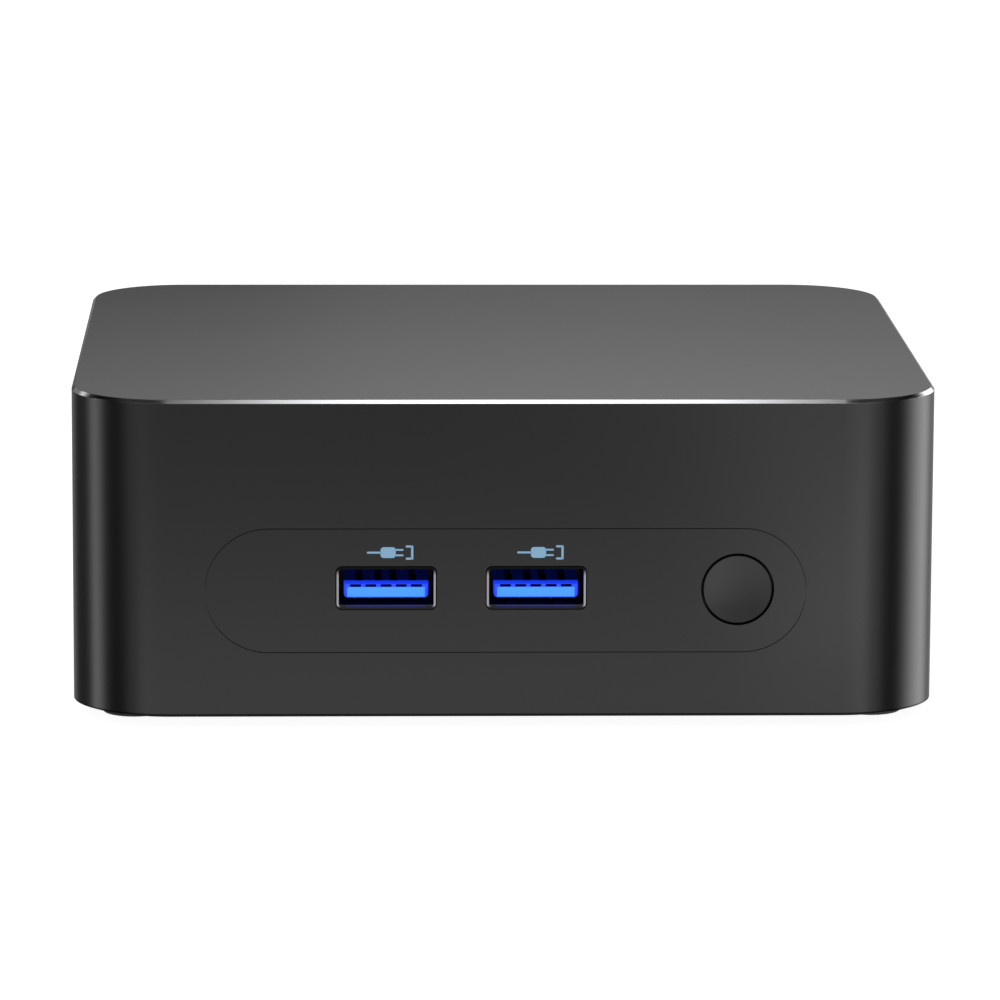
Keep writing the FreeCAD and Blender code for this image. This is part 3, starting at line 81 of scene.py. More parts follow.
# ==== node material helpers =========================================================================
class Graph:
    """Short names for the shader nodes used here."""

    def start(self, owner, coords):
        owner.use_nodes = True
        self.tree = owner.node_tree
        self.tree.nodes.clear()
        self.coords = self.node("ShaderNodeTexCoord").outputs[coords]

    def node(self, kind, **settings):
        n = self.tree.nodes.new(kind)
        for key, value in settings.items():
            setattr(n, key, value)
        return n

    def link(self, a, b):
        self.tree.links.new(a, b)

    def feed(self, socket, value):
        if isinstance(value, bpy.types.NodeSocket):
            self.link(value, socket)
        else:
            socket.default_value = value

    def math(self, op, a, b=0.0, c=0.0):
        n = self.node("ShaderNodeMath", operation=op)
        for socket, value in zip(n.inputs, (a, b, c)):
            self.feed(socket, value)
        return n.outputs[0]

    def stretch(self, scale, rotation=(0, 0, 0)):
        n = self.node("ShaderNodeMapping")
        n.inputs["Scale"].default_value = scale
        n.inputs["Rotation"].default_value = rotation
        self.link(self.coords, n.inputs["Vector"])
        return n.outputs[0]

    def noise(self, size, detail=2.0, vector=None, rough=0.5):
        """Noise whose blobs are about this many metres across; 0 to 1."""
        n = self.node("ShaderNodeTexNoise")
        self.link(vector or self.coords, n.inputs["Vector"])
        n.inputs["Scale"].default_value = 1.0 / size
        n.inputs["Detail"].default_value = detail
        n.inputs["Roughness"].default_value = rough
        return n.outputs["Fac"]

    def cells(self, size):
        n = self.node("ShaderNodeTexVoronoi")
        self.link(self.coords, n.inputs["Vector"])
        n.inputs["Scale"].default_value = 1.0 / size
        return n.outputs["Distance"]

    def remap(self, value, a, b, lo=0.3, hi=0.7, smooth=False):
        n = self.node("ShaderNodeMapRange", interpolation_type="SMOOTHSTEP" if smooth else "LINEAR")
        self.feed(n.inputs["Value"], value)
        n.inputs["From Min"].default_value = lo
        n.inputs["From Max"].default_value = hi
        self.feed(n.inputs["To Min"], a)
        self.feed(n.inputs["To Max"], b)
        return n.outputs[0]

    def mix(self, factor, a, b):
        n = self.node("ShaderNodeMix", data_type="RGBA")
        self.feed(n.inputs["Factor"], factor)
        for socket, value in ((n.inputs[6], a), (n.inputs[7], b)):
            if not isinstance(value, bpy.types.NodeSocket):
                value = (*value[:3], 1.0)
            self.feed(socket, value)
        return n.outputs[2]

    def axis(self, which):
        n = self.node("ShaderNodeSeparateXYZ")
        self.link(self.coords, n.inputs[0])
        return n.outputs["XYZ".index(which)]

    def between(self, value, lo, hi):
        """1 where lo < value < hi, else 0."""
        return self.math("MULTIPLY", self.math("GREATER_THAN", value, lo), self.math("LESS_THAN", value, hi))

    def hump(self, value, centre, inner, outer, height):
        """height within inner of the centre, falling smoothly to 0 at outer."""
        away = self.math("ABSOLUTE", self.math("SUBTRACT", value, centre))
        return self.remap(away, height, 0.0, inner, outer, smooth=True)

    def total(self, *values):
        result = values[0]
        for value in values[1:]:
            result = self.math("ADD", result, value)
        return result

    def bump(self, height, depth, strength=1.0, under=None):
        n = self.node("ShaderNodeBump")
        n.inputs["Strength"].default_value = strength
        n.inputs["Distance"].default_value = depth
        self.link(height, n.inputs["Height"])
        if under is not None:
            self.link(under, n.inputs["Normal"])
        return n.outputs[0]


class Mat(Graph):
    """A Principled material under construction."""

    def __init__(self, name):
        self.mat = bpy.data.materials.new(name)
        self.start(self.mat, "Object")
        self.out = self.node("ShaderNodeOutputMaterial")
        self.bsdf = self.node("ShaderNodeBsdfPrincipled")
        self.link(self.bsdf.outputs[0], self.out.inputs[0])

    def set(self, **values):
        names = {"color": "Base Color", "rough": "Roughness", "metal": "Metallic", "normal": "Normal",
                 "ior": "IOR", "spec": "Specular IOR Level", "transmission": "Transmission Weight",
                 "glow": "Emission Color"}
        for key, value in values.items():
            socket = self.bsdf.inputs[names[key]]
            if key in ("color", "glow") and not isinstance(value, bpy.types.NodeSocket):
                value = (*value[:3], 1.0)
            self.feed(socket, value)
        if "glow" in values:
            self.bsdf.inputs["Emission Strength"].default_value = 1.0
        return self


def shade(color, factor):
    return tuple(min(1.0, c * factor) for c in color[:3])


def moulded(name, color, rough=0.45, grain=0.35 * MM, depth=0.006 * MM, tone=0.10, spec=0.5):
    """Moulded plastic: slow tone drift, fine spark-eroded grain."""
    m = Mat(name)
    drift = m.noise(14 * MM, 2.0)
    fine = m.noise(grain, 3.0)
    base = m.mix(m.remap(drift, 0.0, 1.0), shade(color, 1 - tone), shade(color, 1 + tone))
    base = m.mix(m.remap(fine, 0.0, 0.25), base, shade(color, 1 + 2.5 * tone))
    m.set(color=base, rough=m.remap(m.noise(4 * MM, 3.0), rough - 0.04, rough + 0.04),
          normal=m.bump(fine, depth), spec=spec)
    return m.mat


def metal(name, color, rough=0.25, grain=(1.0, 1.0, 1.0), size=0.25 * MM, depth=0.002 * MM, tone=0.08):
    """Drawn or brushed metal; a small grain factor stretches the marks along that axis."""
    m = Mat(name)
    lines = m.noise(size, 4.0, m.stretch(grain), 0.6)
    smear = m.noise(6 * MM, 2.0)
    base = m.mix(m.remap(lines, 0.0, 1.0), shade(color, 1 - tone), shade(color, 1 + tone))
    m.set(color=base, metal=1.0, rough=m.remap(m.math("ADD", m.math("MULTIPLY", lines, 0.6),
                                                      m.math("MULTIPLY", smear, 0.4)), rough * 0.8, rough * 1.25),
          normal=m.bump(lines, depth))
    return m.mat


def rubber(name, color):
    m = Mat(name)
    fine = m.noise(0.2 * MM, 3.0)
    dust = m.noise(3 * MM, 4.0)
    m.set(color=m.mix(m.remap(dust, 0.0, 0.5), color, shade(color, 1.9)),
          rough=m.remap(fine, 0.72, 0.88), normal=m.bump(fine, 0.01 * MM), spec=0.35)
    return m.mat


def case_material():
    """Satin dark grey; the bevel round the top edge is bare and polished; a painted shade line runs along the
    bottom edge.
    """
    m = Mat("case_satin_painted_rim")
    color = (0.0066, 0.0068, 0.0074)
    fine = m.noise(0.09 * MM, 2.0)
    drift = m.noise(30 * MM, 2.0)
    base = m.mix(m.remap(drift, 0.0, 1.0), shade(color, 0.97), shade(color, 1.03))
    base = m.mix(m.remap(fine, 0.0, 0.12), base, shade(color, 1.5))
    bevel = m.between(m.axis("Z"), TOP_Z - BEVEL - 0.004 * MM, TOP_Z - 0.006 * MM)
    # painted shade: the lowest 0.22 mm of the case is coloured near black and made less shiny, as the shadow line
    # under the case
    painted_shade_rim = m.math("LESS_THAN", m.axis("Z"), case_lo.z + 0.22 * MM)
    satin = m.remap(drift, 0.235, 0.255)
    m.set(color=m.mix(painted_shade_rim, m.mix(bevel, base, (0.82, 0.83, 0.85)), (0.002, 0.002, 0.002)), metal=bevel,
          rough=m.math("ADD", m.math("MULTIPLY", satin, m.math("SUBTRACT", 1.0, bevel)),
                       m.math("MULTIPLY", 0.17, bevel)),
          normal=m.bump(fine, 0.0012 * MM, 0.6), spec=m.remap(painted_shade_rim, 0.5, 0.12, 0.0, 1.0))
    return m.mat


DISH = 11.0              # the button's face rises by this times the square of the distance from its centre


def button_material():
    """Satin cap, very slightly dished."""
    m = Mat("button_satin")
    lo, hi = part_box("power_button_cap")
    dx = m.math("SUBTRACT", m.axis("X"), (lo.x + hi.x) / 2)
    dz = m.math("SUBTRACT", m.axis("Z"), (lo.z + hi.z) / 2)
    square = m.math("ADD", m.math("MULTIPLY", dx, dx), m.math("MULTIPLY", dz, dz))
    dished = m.bump(m.math("MULTIPLY", square, DISH), 1.0)
    color = (0.010, 0.0102, 0.011)
    fine = m.noise(0.09 * MM, 2.0)
    drift = m.noise(5 * MM, 2.0)
    m.set(color=m.mix(m.remap(drift, 0.0, 1.0), shade(color, 0.95), shade(color, 1.05)),
          rough=m.remap(fine, 0.30, 0.36), normal=m.bump(fine, 0.001 * MM, 0.6, dished), spec=0.5)
    return m.mat


def in_usb_port(m):
    """Place inside the nearest USB port: sideways and upwards from its centre, and depth from the case's face."""
    x, y, z = (m.axis(a) for a in "XYZ")
    sides = [m.math("ABSOLUTE", m.math("SUBTRACT", x, p.x)) for p in FRONT_USB + [REAR_USB]]
    at_rear = m.math("GREATER_THAN", y, 0.0)
    front_side = m.math("MINIMUM", sides[0], sides[1])
    side = m.total(m.math("MULTIPLY", at_rear, sides[2]),
                   m.math("MULTIPLY", m.math("SUBTRACT", 1.0, at_rear), front_side))
    up = m.math("WRAP", m.math("SUBTRACT", z, REAR_USB.z), -USB_PITCH / 2, USB_PITCH / 2)
    depth = m.math("SUBTRACT", REAR_Y, m.math("ABSOLUTE", y))
    return side, up, depth


def usb_blue_material():
    """Bright blue moulding with painted light: a pale painted highlight band across the tip, deeper blue round it
    with a painted glow, and painted shade further in, in the gap under the tongue and outside its rounded corners.
    """
    m = Mat("usb_blue_painted_light")
    side, up, depth = in_usb_port(m)
    fine = m.noise(0.15 * MM, 3.0)
    # painted highlight: the pale band across the tip is coloured and glows as if lit from the front
    tip = m.math("LESS_THAN", depth, 2.05 * MM)
    painted_highlight_band = m.math("MULTIPLY", tip, m.math("MULTIPLY", m.math("LESS_THAN", side, 5.10 * MM),
                                          m.between(up, -1.53 * MM, -0.24 * MM)))
    # painted shade: the gap under the tongue is coloured dark
    gap_painted_shade = m.math("MULTIPLY", m.between(up, -0.235 * MM, 0.145 * MM),
                    m.math("MULTIPLY", m.between(depth, 2.04 * MM, 3.3 * MM), m.math("LESS_THAN", side, 5.4 * MM)))
    # painted shade: outside the rounded corners the tongue is coloured dark
    rounded = m.math("LESS_THAN", m.math("SUBTRACT", side, up), 6.78 * MM)
    rounded = m.math("MULTIPLY", rounded, m.math("SUBTRACT", 1.0, gap_painted_shade))
    # painted shade further in: the glowing blue fades to the dark colours between 3.2 and 4.6 mm deep
    near = m.math("MULTIPLY", rounded, m.remap(depth, 1.0, 0.0, 3.2 * MM, 4.6 * MM, smooth=True))
    # painted shade: dark navy with a faint painted glow within the tongue's width above its lower edge, black
    # elsewhere
    navy_shade_area = m.math("MULTIPLY", m.math("LESS_THAN", side, 5.6 * MM), m.math("GREATER_THAN", up, -1.7 * MM))
    painted_shade_deep = m.mix(navy_shade_area, (0.001, 0.001, 0.003), (0.002, 0.006, 0.10))
    painted_navy_glow = m.mix(navy_shade_area, (0.0, 0.0, 0.0), (0.0, 0.001, 0.022))
    # painted light: the tongue glows though it is no lamp
    m.set(color=m.mix(painted_highlight_band, m.mix(near, painted_shade_deep, (0.012, 0.06, 0.85)), (0.03, 0.16, 0.90)),
          rough=m.remap(fine, 0.30, 0.40), spec=0.4, normal=m.bump(fine, 0.002 * MM),
          glow=m.mix(painted_highlight_band, m.mix(near, painted_navy_glow, (0.008, 0.040, 0.85)), (0.045, 0.27, 0.95)))
    return m.mat


def usb_steel_material():
    """Plated shell with painted light: the rim is bright at its sides with painted shade above and below, the
    inside is coloured near black as painted shade, and a painted glow lights a strip on its floor.
    """
    m = Mat("usb_steel_painted_light")
    side, up, depth = in_usb_port(m)
    lines = m.noise(0.25 * MM, 4.0, m.stretch((1.0, 0.12, 1.0)), 0.6)
    rim = m.math("LESS_THAN", depth, 0.25 * MM)
    # painted shade: inside the port the steel is coloured near black
    inside = m.math("MULTIPLY", m.math("LESS_THAN", side, 6.30 * MM),
                    m.between(up, -2.60 * MM, 2.60 * MM))
    # painted shade on the rim's top and bottom
    rim_painted_shade = m.math("MULTIPLY", m.remap(up, 0.40, 0.01, 1.5 * MM, 2.5 * MM, smooth=True),
                      m.remap(up, 0.06, 1.0, -2.60 * MM, -2.30 * MM, smooth=True))
    # painted glow on a strip of the floor 0.5 to 1.5 mm in, as if lit
    painted_glow_strip = m.math("MULTIPLY", m.math("LESS_THAN", up, -2.4 * MM), m.between(depth, 0.5 * MM, 1.5 * MM))
    tone = m.math("MULTIPLY", m.remap(lines, 0.60, 0.72), m.remap(inside, 1.0, 0.02, 0.0, 1.0))
    tone = m.total(m.math("MULTIPLY", rim, rim_painted_shade), m.math("MULTIPLY", m.math("SUBTRACT", 1.0, rim), tone))
    m.set(color=m.mix(tone, (0.0, 0.0, 0.0), (1.0, 1.0, 1.02)), metal=1.0, rough=m.remap(lines, 0.26, 0.36),
          glow=m.mix(painted_glow_strip, (0.0, 0.0, 0.0), (0.036, 0.037, 0.040)), normal=m.bump(lines, 0.002 * MM))
    return m.mat


def board_material(name, green=(0.008, 0.062, 0.037)):
    """Solder mask over copper: fine tracks, ground fill, vias and pads."""
    m = Mat(name)
    x, y = m.axis("X"), m.axis("Y")
    flat = m.stretch((1.0, 1.0, 0.05))
    bundle = m.noise(9 * MM, 1.0, flat)
    track_x = m.math("PINGPONG", m.math("ADD", x, m.math("MULTIPLY", bundle, 0.006)), 0.25 * MM)
    track_y = m.math("PINGPONG", m.math("ADD", y, m.math("MULTIPLY", bundle, 0.006)), 0.25 * MM)
    region = m.math("GREATER_THAN", m.noise(7 * MM, 0.0, flat), 0.5)
    track = m.math("ADD", m.math("MULTIPLY", region, track_x),
                   m.math("MULTIPLY", m.math("SUBTRACT", 1.0, region), track_y))
    track_mask = m.math("GREATER_THAN", track, 0.14 * MM)
    via = m.math("LESS_THAN", m.cells(1.5 * MM), 0.11)
    base = m.mix(track_mask, green, shade(green, 2.1))
    base = m.mix(via, base, (0.42, 0.36, 0.16))
    m.set(color=base, rough=m.remap(m.noise(1.5 * MM, 2.0), 0.26, 0.38), metal=m.math("MULTIPLY", via, 0.8),
          normal=m.bump(track_mask, 0.02 * MM, 0.6), spec=0.55)
    return m.mat


def copper_material():
    m = Mat("copper_lacquered")
    lines = m.noise(0.3 * MM, 4.0, m.stretch((0.15, 1.0, 1.0)))
    stain = m.noise(7 * MM, 4.0)
    m.set(color=m.mix(m.remap(stain, 0.0, 1.0), (0.50, 0.20, 0.09), (0.78, 0.38, 0.20)), metal=1.0,
          rough=m.remap(lines, 0.20, 0.36), normal=m.bump(lines, 0.003 * MM))
    return m.mat


def sleeve_material():
    m = Mat("cell_sleeve")
    crease = m.noise(1.2 * MM, 3.0)
    m.set(color=m.mix(m.remap(crease, 0.0, 1.0), (0.62, 0.42, 0.02), (0.80, 0.58, 0.05)),
          rough=m.remap(crease, 0.22, 0.34), normal=m.bump(crease, 0.03 * MM), spec=0.6)
    return m.mat


def stator_material():
    """Enamelled winding wire over laminations."""
    m = Mat("winding")
    turns = m.node("ShaderNodeTexWave", wave_type="BANDS", bands_direction="Z")
    m.link(m.coords, turns.inputs["Vector"])
    turns.inputs["Scale"].default_value = 400.0
    m.set(color=m.mix(turns.outputs["Fac"], (0.20, 0.06, 0.02), (0.62, 0.26, 0.10)), metal=0.8,
          rough=0.32, normal=m.bump(turns.outputs["Fac"], 0.05 * MM))
    return m.mat


def light_window_material():
    m = Mat("light_window")
    cloud = m.noise(0.6 * MM, 2.0)
    m.set(color=m.mix(m.remap(cloud, 0.0, 1.0), (0.42, 0.60, 0.26), (0.55, 0.72, 0.34)),
          rough=m.remap(cloud, 0.15, 0.25), transmission=0.4, ior=1.49)
    return m.mat


def ink_material():
    """Pad-printed pale blue-grey ink, which also has a painted glow that brightens it beyond its lighting."""
    m = Mat("printed_ink")
    speckle = m.noise(0.08 * MM, 2.0)
    m.set(color=m.mix(m.remap(speckle, 0.0, 1.0), (0.16, 0.27, 0.38), (0.19, 0.32, 0.44)),
          # painted glow: the ink glows, though it is no lamp
          glow=m.mix(m.remap(speckle, 0.0, 1.0), (0.090, 0.18, 0.27), (0.10, 0.20, 0.30)),
          rough=m.remap(speckle, 0.40, 0.55), normal=m.bump(speckle, 0.002 * MM))
    return m.mat


# ==== one material per CAD node =====================================================================
CASE = case_material()
REAR_PLASTIC = moulded("rear_plastic", (0.020, 0.020, 0.022), 0.50, 0.30 * MM, 0.020 * MM)
BASE_PLASTIC = moulded("base_plastic", (0.0085, 0.0085, 0.009), 0.62, 0.40 * MM, 0.030 * MM, spec=0.25)
BLACK_GLOSS = moulded("black_gloss", (0.012, 0.012, 0.013), 0.28, 0.20 * MM, 0.003 * MM)
RESIN = moulded("chip_resin", (0.034, 0.034, 0.036), 0.44, 0.12 * MM, 0.010 * MM, 0.15)
FAN_PLASTIC = moulded("fan_plastic", (0.018, 0.018, 0.019), 0.42, 0.25 * MM, 0.008 * MM)
PORT_STEEL = metal("port_steel", (0.66, 0.67, 0.69), 0.20, (1.0, 0.12, 1.0))
BLACK_SCREW = metal("black_zinc", (0.07, 0.07, 0.075), 0.32)
NICKEL = metal("nickel", (0.64, 0.62, 0.58), 0.22)
BRASS = metal("brass", (0.72, 0.50, 0.20), 0.24)
GOLD = metal("gold_flash", (0.90, 0.60, 0.22), 0.18)
CHROME = metal("bright_pin", (0.80, 0.80, 0.81), 0.10)
ALUMINIUM = metal("fin_aluminium", (0.76, 0.77, 0.79), 0.28, (1.0, 1.0, 0.1))
CAN = metal("capacitor_can", (0.70, 0.71, 0.73), 0.26, (1.0, 1.0, 0.1))
FERRITE = moulded("ferrite", (0.09, 0.09, 0.095), 0.6, 0.15 * MM, 0.02 * MM, 0.2)
COVER_STEEL = metal("fan_cover_steel", (0.42, 0.42, 0.44), 0.34, (0.08, 1.0, 1.0))
BOARD = board_material("main_board_mask")
CARD = board_material("card_mask", (0.008, 0.021, 0.052))
COPPER = copper_material()
CABLE = rubber("cable_jacket", (0.022, 0.022, 0.023))
FOOT = rubber("foot_rubber", (0.014, 0.014, 0.014))

MATERIALS = {
    CASE: ["case_shell", "front_bezel"],
    REAR_PLASTIC: ["rear_io_panel"],
    BASE_PLASTIC: ["base_plate"],
    FOOT: ["rubber_feet"],
    button_material(): ["power_button_cap"],
    BLACK_SCREW: ["base_screws", "fan_screws", "card_screws"],
    NICKEL: ["board_screws", "cooler_screws", "cooler_springs", "fan_shaft", "cooler_standoffs", "ram_latch_left",
             "ram_latch_right"],
    BRASS: ["case_inserts", "vesa_inserts", "card_standoffs", "fan_bearing"],
    usb_steel_material(): ["front_usb_shells", "rear_usb_shell"],
    PORT_STEEL: ["hdmi_shells", "ethernet_shield"],
    usb_blue_material(): ["usb_tongues"],
    metal("shaded_contacts", (0.030, 0.020, 0.010), 0.5): ["usb_contacts"],
    GOLD: ["ethernet_contacts"],
    BLACK_GLOSS: ["hdmi_tongues", "ethernet_body", "dc_jack_body", "audio_jack", "ram_socket", "ssd_socket",
                  "wifi_socket", "power_switch_body"],
    moulded("switch_white", (0.62, 0.62, 0.58), 0.4): ["power_switch_actuator"],
    light_window_material(): ["ethernet_lights"],
    CHROME: ["dc_jack_pin"],
    BOARD: ["main_board", "ram_module"],
    CARD: ["ssd_card", "wifi_card"],
    RESIN: ["soc_package", "board_chips", "ram_chips", "ssd_chips"],
    FERRITE: ["power_inductors", "fan_magnet"],
    CAN: ["capacitors"],
    sleeve_material(): ["clock_battery"],
    COPPER: ["cold_plate", "heat_pipe"],
    ALUMINIUM: ["fin_stack"],
    FAN_PLASTIC: ["fan_frame", "fan_impeller"],
    COVER_STEEL: ["fan_cover"],
    stator_material(): ["fan_stator"],
    CABLE: ["fan_cable", "antenna_cables"],
    moulded("antenna_film", (0.035, 0.033, 0.030), 0.35): ["antennas"],
}


def dress_nodes():
    """Gives each CAD node its material and smooth curved faces with crisp edges."""
    left = set(NODES)
    for material, names in MATERIALS.items():
        for name in names:
            obj = NODES[name]
            obj.data.materials.clear()
            obj.data.materials.append(material)
            left.discard(name)
    if left:
        raise ValueError(f"nodes with no material: {sorted(left)}")
    for obj in NODES.values():
        weld = obj.modifiers.new("weld", "WELD")
        weld.merge_threshold = 1e-6
        if obj.data.has_custom_normals:
            obj.data.attributes.remove(obj.data.attributes["custom_normal"])
        obj.data.shade_smooth()
        crease = obj.modifiers.new("crease", "EDGE_SPLIT")
        crease.split_angle = math.radians(26)
        crease.use_edge_sharp = False


dress_nodes()


# ==== small pieces added for looks ==================================================================
def mesh_piece(name, bm, material, body):
    mesh = bpy.data.meshes.new(name)
    bmesh.ops.recalc_face_normals(bm, faces=bm.faces)
    bm.to_mesh(mesh)
    bm.free()
    obj = bpy.data.objects.new(name, mesh)
    bpy.context.scene.collection.objects.link(obj)
    mesh.materials.append(material)
    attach(obj, body)
    return obj


def add_plate(bm, outline, place, thickness):
    """Closed thin plate over a 2-D outline; place(u, v, w) gives the point in space."""
    lower = [bm.verts.new(place(u, v, 0.0)) for u, v in outline]
    upper = [bm.verts.new(place(u, v, thickness)) for u, v in outline]
    bm.faces.new(lower[::-1])
    bm.faces.new(upper)
    n = len(outline)
    for i in range(n):
        bm.faces.new((lower[i], lower[(i + 1) % n], upper[(i + 1) % n], upper[i]))


def pill(u0, u1, v0, v1, r, steps=6):
    """Rounded rectangle outline."""
    r = min(r, (u1 - u0) / 2, (v1 - v0) / 2)
    points = []
    for cu, cv, start in ((u1 - r, v1 - r, 0), (u0 + r, v1 - r, 90), (u0 + r, v0 + r, 180), (u1 - r, v0 + r, 270)):
        for i in range(steps + 1):
            a = math.radians(start + 90 * i / steps)
            points.append((cu + r * math.cos(a), cv + r * math.sin(a)))
    return points


def plug_icon(bm, place, thickness):
    """Generic plug: cord, rounded body and two prongs, facing a socket bracket."""
    cord = pill(-3.05, -1.1, -0.13, 0.13, 0.13)
    body = pill(-1.25, 0.75, -0.72, 0.72, 0.42)
    prongs = [pill(0.65, 1.75, v - 0.12, v + 0.12, 0.06) for v in (-0.36, 0.36)]
    bracket = [pill(2.75, 3.05, -0.95, 0.95, 0.14), pill(2.05, 2.9, 0.67, 0.95, 0.12),
               pill(2.05, 2.9, -0.95, -0.67, 0.12)]
    for outline in [cord, body] + prongs + bracket:
        add_plate(bm, [(u * MM, v * MM) for u, v in outline], place, thickness)


INK_T = 0.012 * MM
ICON_Z = PANEL_Z + 5.1 * MM
ICON_SHIFT = 0.5 * MM


def front_icons():
    ink = ink_material()
    bm = bmesh.new()
    for port in FRONT_USB:
        cx = port.x + ICON_SHIFT
        plug_icon(bm, lambda u, v, w, cx=cx: Vector((cx + u, FRONT_Y + 0.002 * MM - w, ICON_Z + v)), INK_T)
    mesh_piece("front_port_icons", bm, ink, "case")


SEAM_OUT = 8.3 * MM      # the panel's opening has round ends of this radius; the panel is 0.1 mm smaller
SEAM_IN = 8.2 * MM
SEAM_END_X = (bezel_hi.x - bezel_lo.x) / 2 - 1.5 * MM - SEAM_OUT


def seam_filler():
    """Bead in the seam round the front panel, in the case's material; it comes nearly flush at the panel's two
    ends.
    """
    bm = bmesh.new()
    steps = 48
    for side in (-1, 1):
        rings = []
        for i in range(steps + 1):
            a = math.radians(-78 + 156 * i / steps)
            rise = min(1.0, max(0.0, (abs(math.sin(a)) - 0.05) / 0.75))
            sunk = (0.04 + 0.60 * rise) * MM
            ring = []
            for r in (SEAM_IN + 0.001 * MM, SEAM_OUT - 0.001 * MM):
                x, z = side * (SEAM_END_X + r * math.cos(a)), PANEL_Z + r * math.sin(a)
                ring += [bm.verts.new((x, FRONT_Y + sunk, z)), bm.verts.new((x, FRONT_Y + 1.2 * MM, z))]
            rings.append(ring)
        for a, b in zip(rings, rings[1:]):
            for j, k in ((0, 2), (2, 3), (3, 1), (1, 0)):
                bm.faces.new((a[j], a[k], b[k], b[j]))
        bm.faces.new((rings[0][0], rings[0][1], rings[0][3], rings[0][2]))
        bm.faces.new((rings[-1][0], rings[-1][2], rings[-1][3], rings[-1][1]))
    mesh_piece("front_seam_bead", bm, CASE, "case")


# partly painted shade: near-black foam put round the ports to block light from the vents
GASKET_SHADE = moulded("gasket_foam_shade", (0.006, 0.006, 0.006), 0.9, 0.5 * MM, 0.06 * MM, spec=0.1)
USB_HW, USB_HH = 6.5 * MM, 2.8 * MM


def front_gaskets():
    """Foam round the sides and floor of each front USB shell, behind the panel; the board covers the top. Its
    near-black foam also serves as painted shade, blocking light that would show through the vents round the ports.
    """
    bm = bmesh.new()
    gap, foam = 0.02 * MM, 0.9 * MM
    inner_w, inner_h = USB_HW + gap, USB_HH + gap
    outer_w, outer_h = inner_w + foam, inner_h + foam
    y0, y1 = bezel_hi.y + 0.05 * MM, FRONT_Y + 7.6 * MM
    for port in FRONT_USB:
        outline = [(-outer_w, USB_HH), (-outer_w, -outer_h), (outer_w, -outer_h), (outer_w, USB_HH),
                   (inner_w, USB_HH), (inner_w, -inner_h), (-inner_w, -inner_h), (-inner_w, USB_HH)]
        add_plate(bm, outline, lambda u, v, w, p=port: Vector((p.x + u, y0 + w, p.z + v)), y1 - y0)
    mesh_piece("front_port_shade_gaskets", bm, GASKET_SHADE, "case")


TIN = metal("tinned_ends", (0.72, 0.72, 0.70), 0.30)
CERAMIC = moulded("ceramic_tan", (0.30, 0.19, 0.10), 0.45, 0.12 * MM, 0.004 * MM, 0.2)
RESISTOR = moulded("resistor_black", (0.020, 0.020, 0.022), 0.35, 0.12 * MM, 0.004 * MM)

# Boards seen from below that carry small parts: node, then the area to fill as shares of its length and width.
POPULATED = (("main_board", (0.04, 0.96), (0.08, 0.80), 150), ("ram_module", (0.03, 0.97), (0.03, 0.50), 26),
             ("ssd_card", (0.04, 0.96), (0.06, 0.94), 30), ("wifi_card", (0.06, 0.94), (0.08, 0.92), 12))
PART_SIZES = ((1.0, 0.5, 0.5), (1.0, 0.5, 0.35), (1.6, 0.8, 0.8), (2.0, 1.25, 0.6))
PART_GAP, CLEAR_OF_PIECES = 0.15 * MM, 0.7 * MM


def add_box(bm, lo, hi):
    corners = [bm.verts.new((x, y, z)) for z in (lo[2], hi[2])
               for x, y in ((lo[0], lo[1]), (hi[0], lo[1]), (hi[0], hi[1]), (lo[0], hi[1]))]
    for face in ((0, 1, 2, 3), (4, 5, 6, 7), (0, 1, 5, 4), (1, 2, 6, 5), (2, 3, 7, 6), (3, 0, 4, 7)):
        bm.faces.new([corners[i] for i in face])


def node_tree(name):
    obj = NODES[name]
    points = [obj.matrix_world @ v.co for v in obj.data.vertices]
    return BVHTree.FromPolygons(points, [tuple(p.vertices) for p in obj.data.polygons])


def board_parts():
    """Small chip resistors and capacitors soldered in short rows under the boards."""
    rng = random.Random(71)
    trees = {name: node_tree(name) for name in NODES if name not in ("case_shell", "base_plate")}
    ends, tan, black = bmesh.new(), bmesh.new(), bmesh.new()
    for name, along, across, rows in POPULATED:
        lo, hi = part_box(name)
        others = [tree for other, tree in trees.items() if other != name]
        taken = []
        for _ in range(rows):
            size = rng.choice(PART_SIZES)
            length, width, height = (v * MM for v in size)
            turned, count = rng.random() < 0.5, rng.randint(1, 5)
            x = lo.x + (hi.x - lo.x) * rng.uniform(*along)
            y = lo.y + (hi.y - lo.y) * rng.uniform(*across)
            body = tan if rng.random() < 0.6 else black
            for i in range(count):
                step = i * (width + 0.5 * MM)
                cx, cy = (x + step, y) if turned else (x, y + step)
                half_x, half_y = (width / 2, length / 2) if turned else (length / 2, width / 2)
                if not part_fits(trees[name], others, taken, cx, cy, half_x, half_y, lo.z, height):
                    continue
                taken.append((cx, cy, half_x, half_y))
                solder_part(ends, body, (cx, cy), (half_x, half_y), turned, lo.z, height)
    mesh_piece("board_part_ends", ends, TIN, "case")
    mesh_piece("board_capacitors", tan, CERAMIC, "case")
    mesh_piece("board_resistors", black, RESISTOR, "case")


def part_fits(board, others, taken, cx, cy, half_x, half_y, z, height):
    """Whole footprint on the board's underside, away from every other piece and part."""
    for sx in (-1, 1):
        for sy in (-1, 1):
            start = Vector((cx + sx * (half_x + 0.2 * MM), cy + sy * (half_y + 0.2 * MM), z - 0.2 * MM))
            hit = board.ray_cast(start, Vector((0, 0, 1)), 0.4 * MM)
            if hit[0] is None or abs(hit[0].z - z) > 0.02 * MM:
                return False
    for tx, ty, other_x, other_y in taken:
        if abs(cx - tx) < half_x + other_x + PART_GAP and abs(cy - ty) < half_y + other_y + PART_GAP:
            return False
    centre = Vector((cx, cy, z - height / 2))
    reach = max(half_x, half_y) + CLEAR_OF_PIECES
    return all(tree.find_nearest(centre, reach)[0] is None for tree in others)


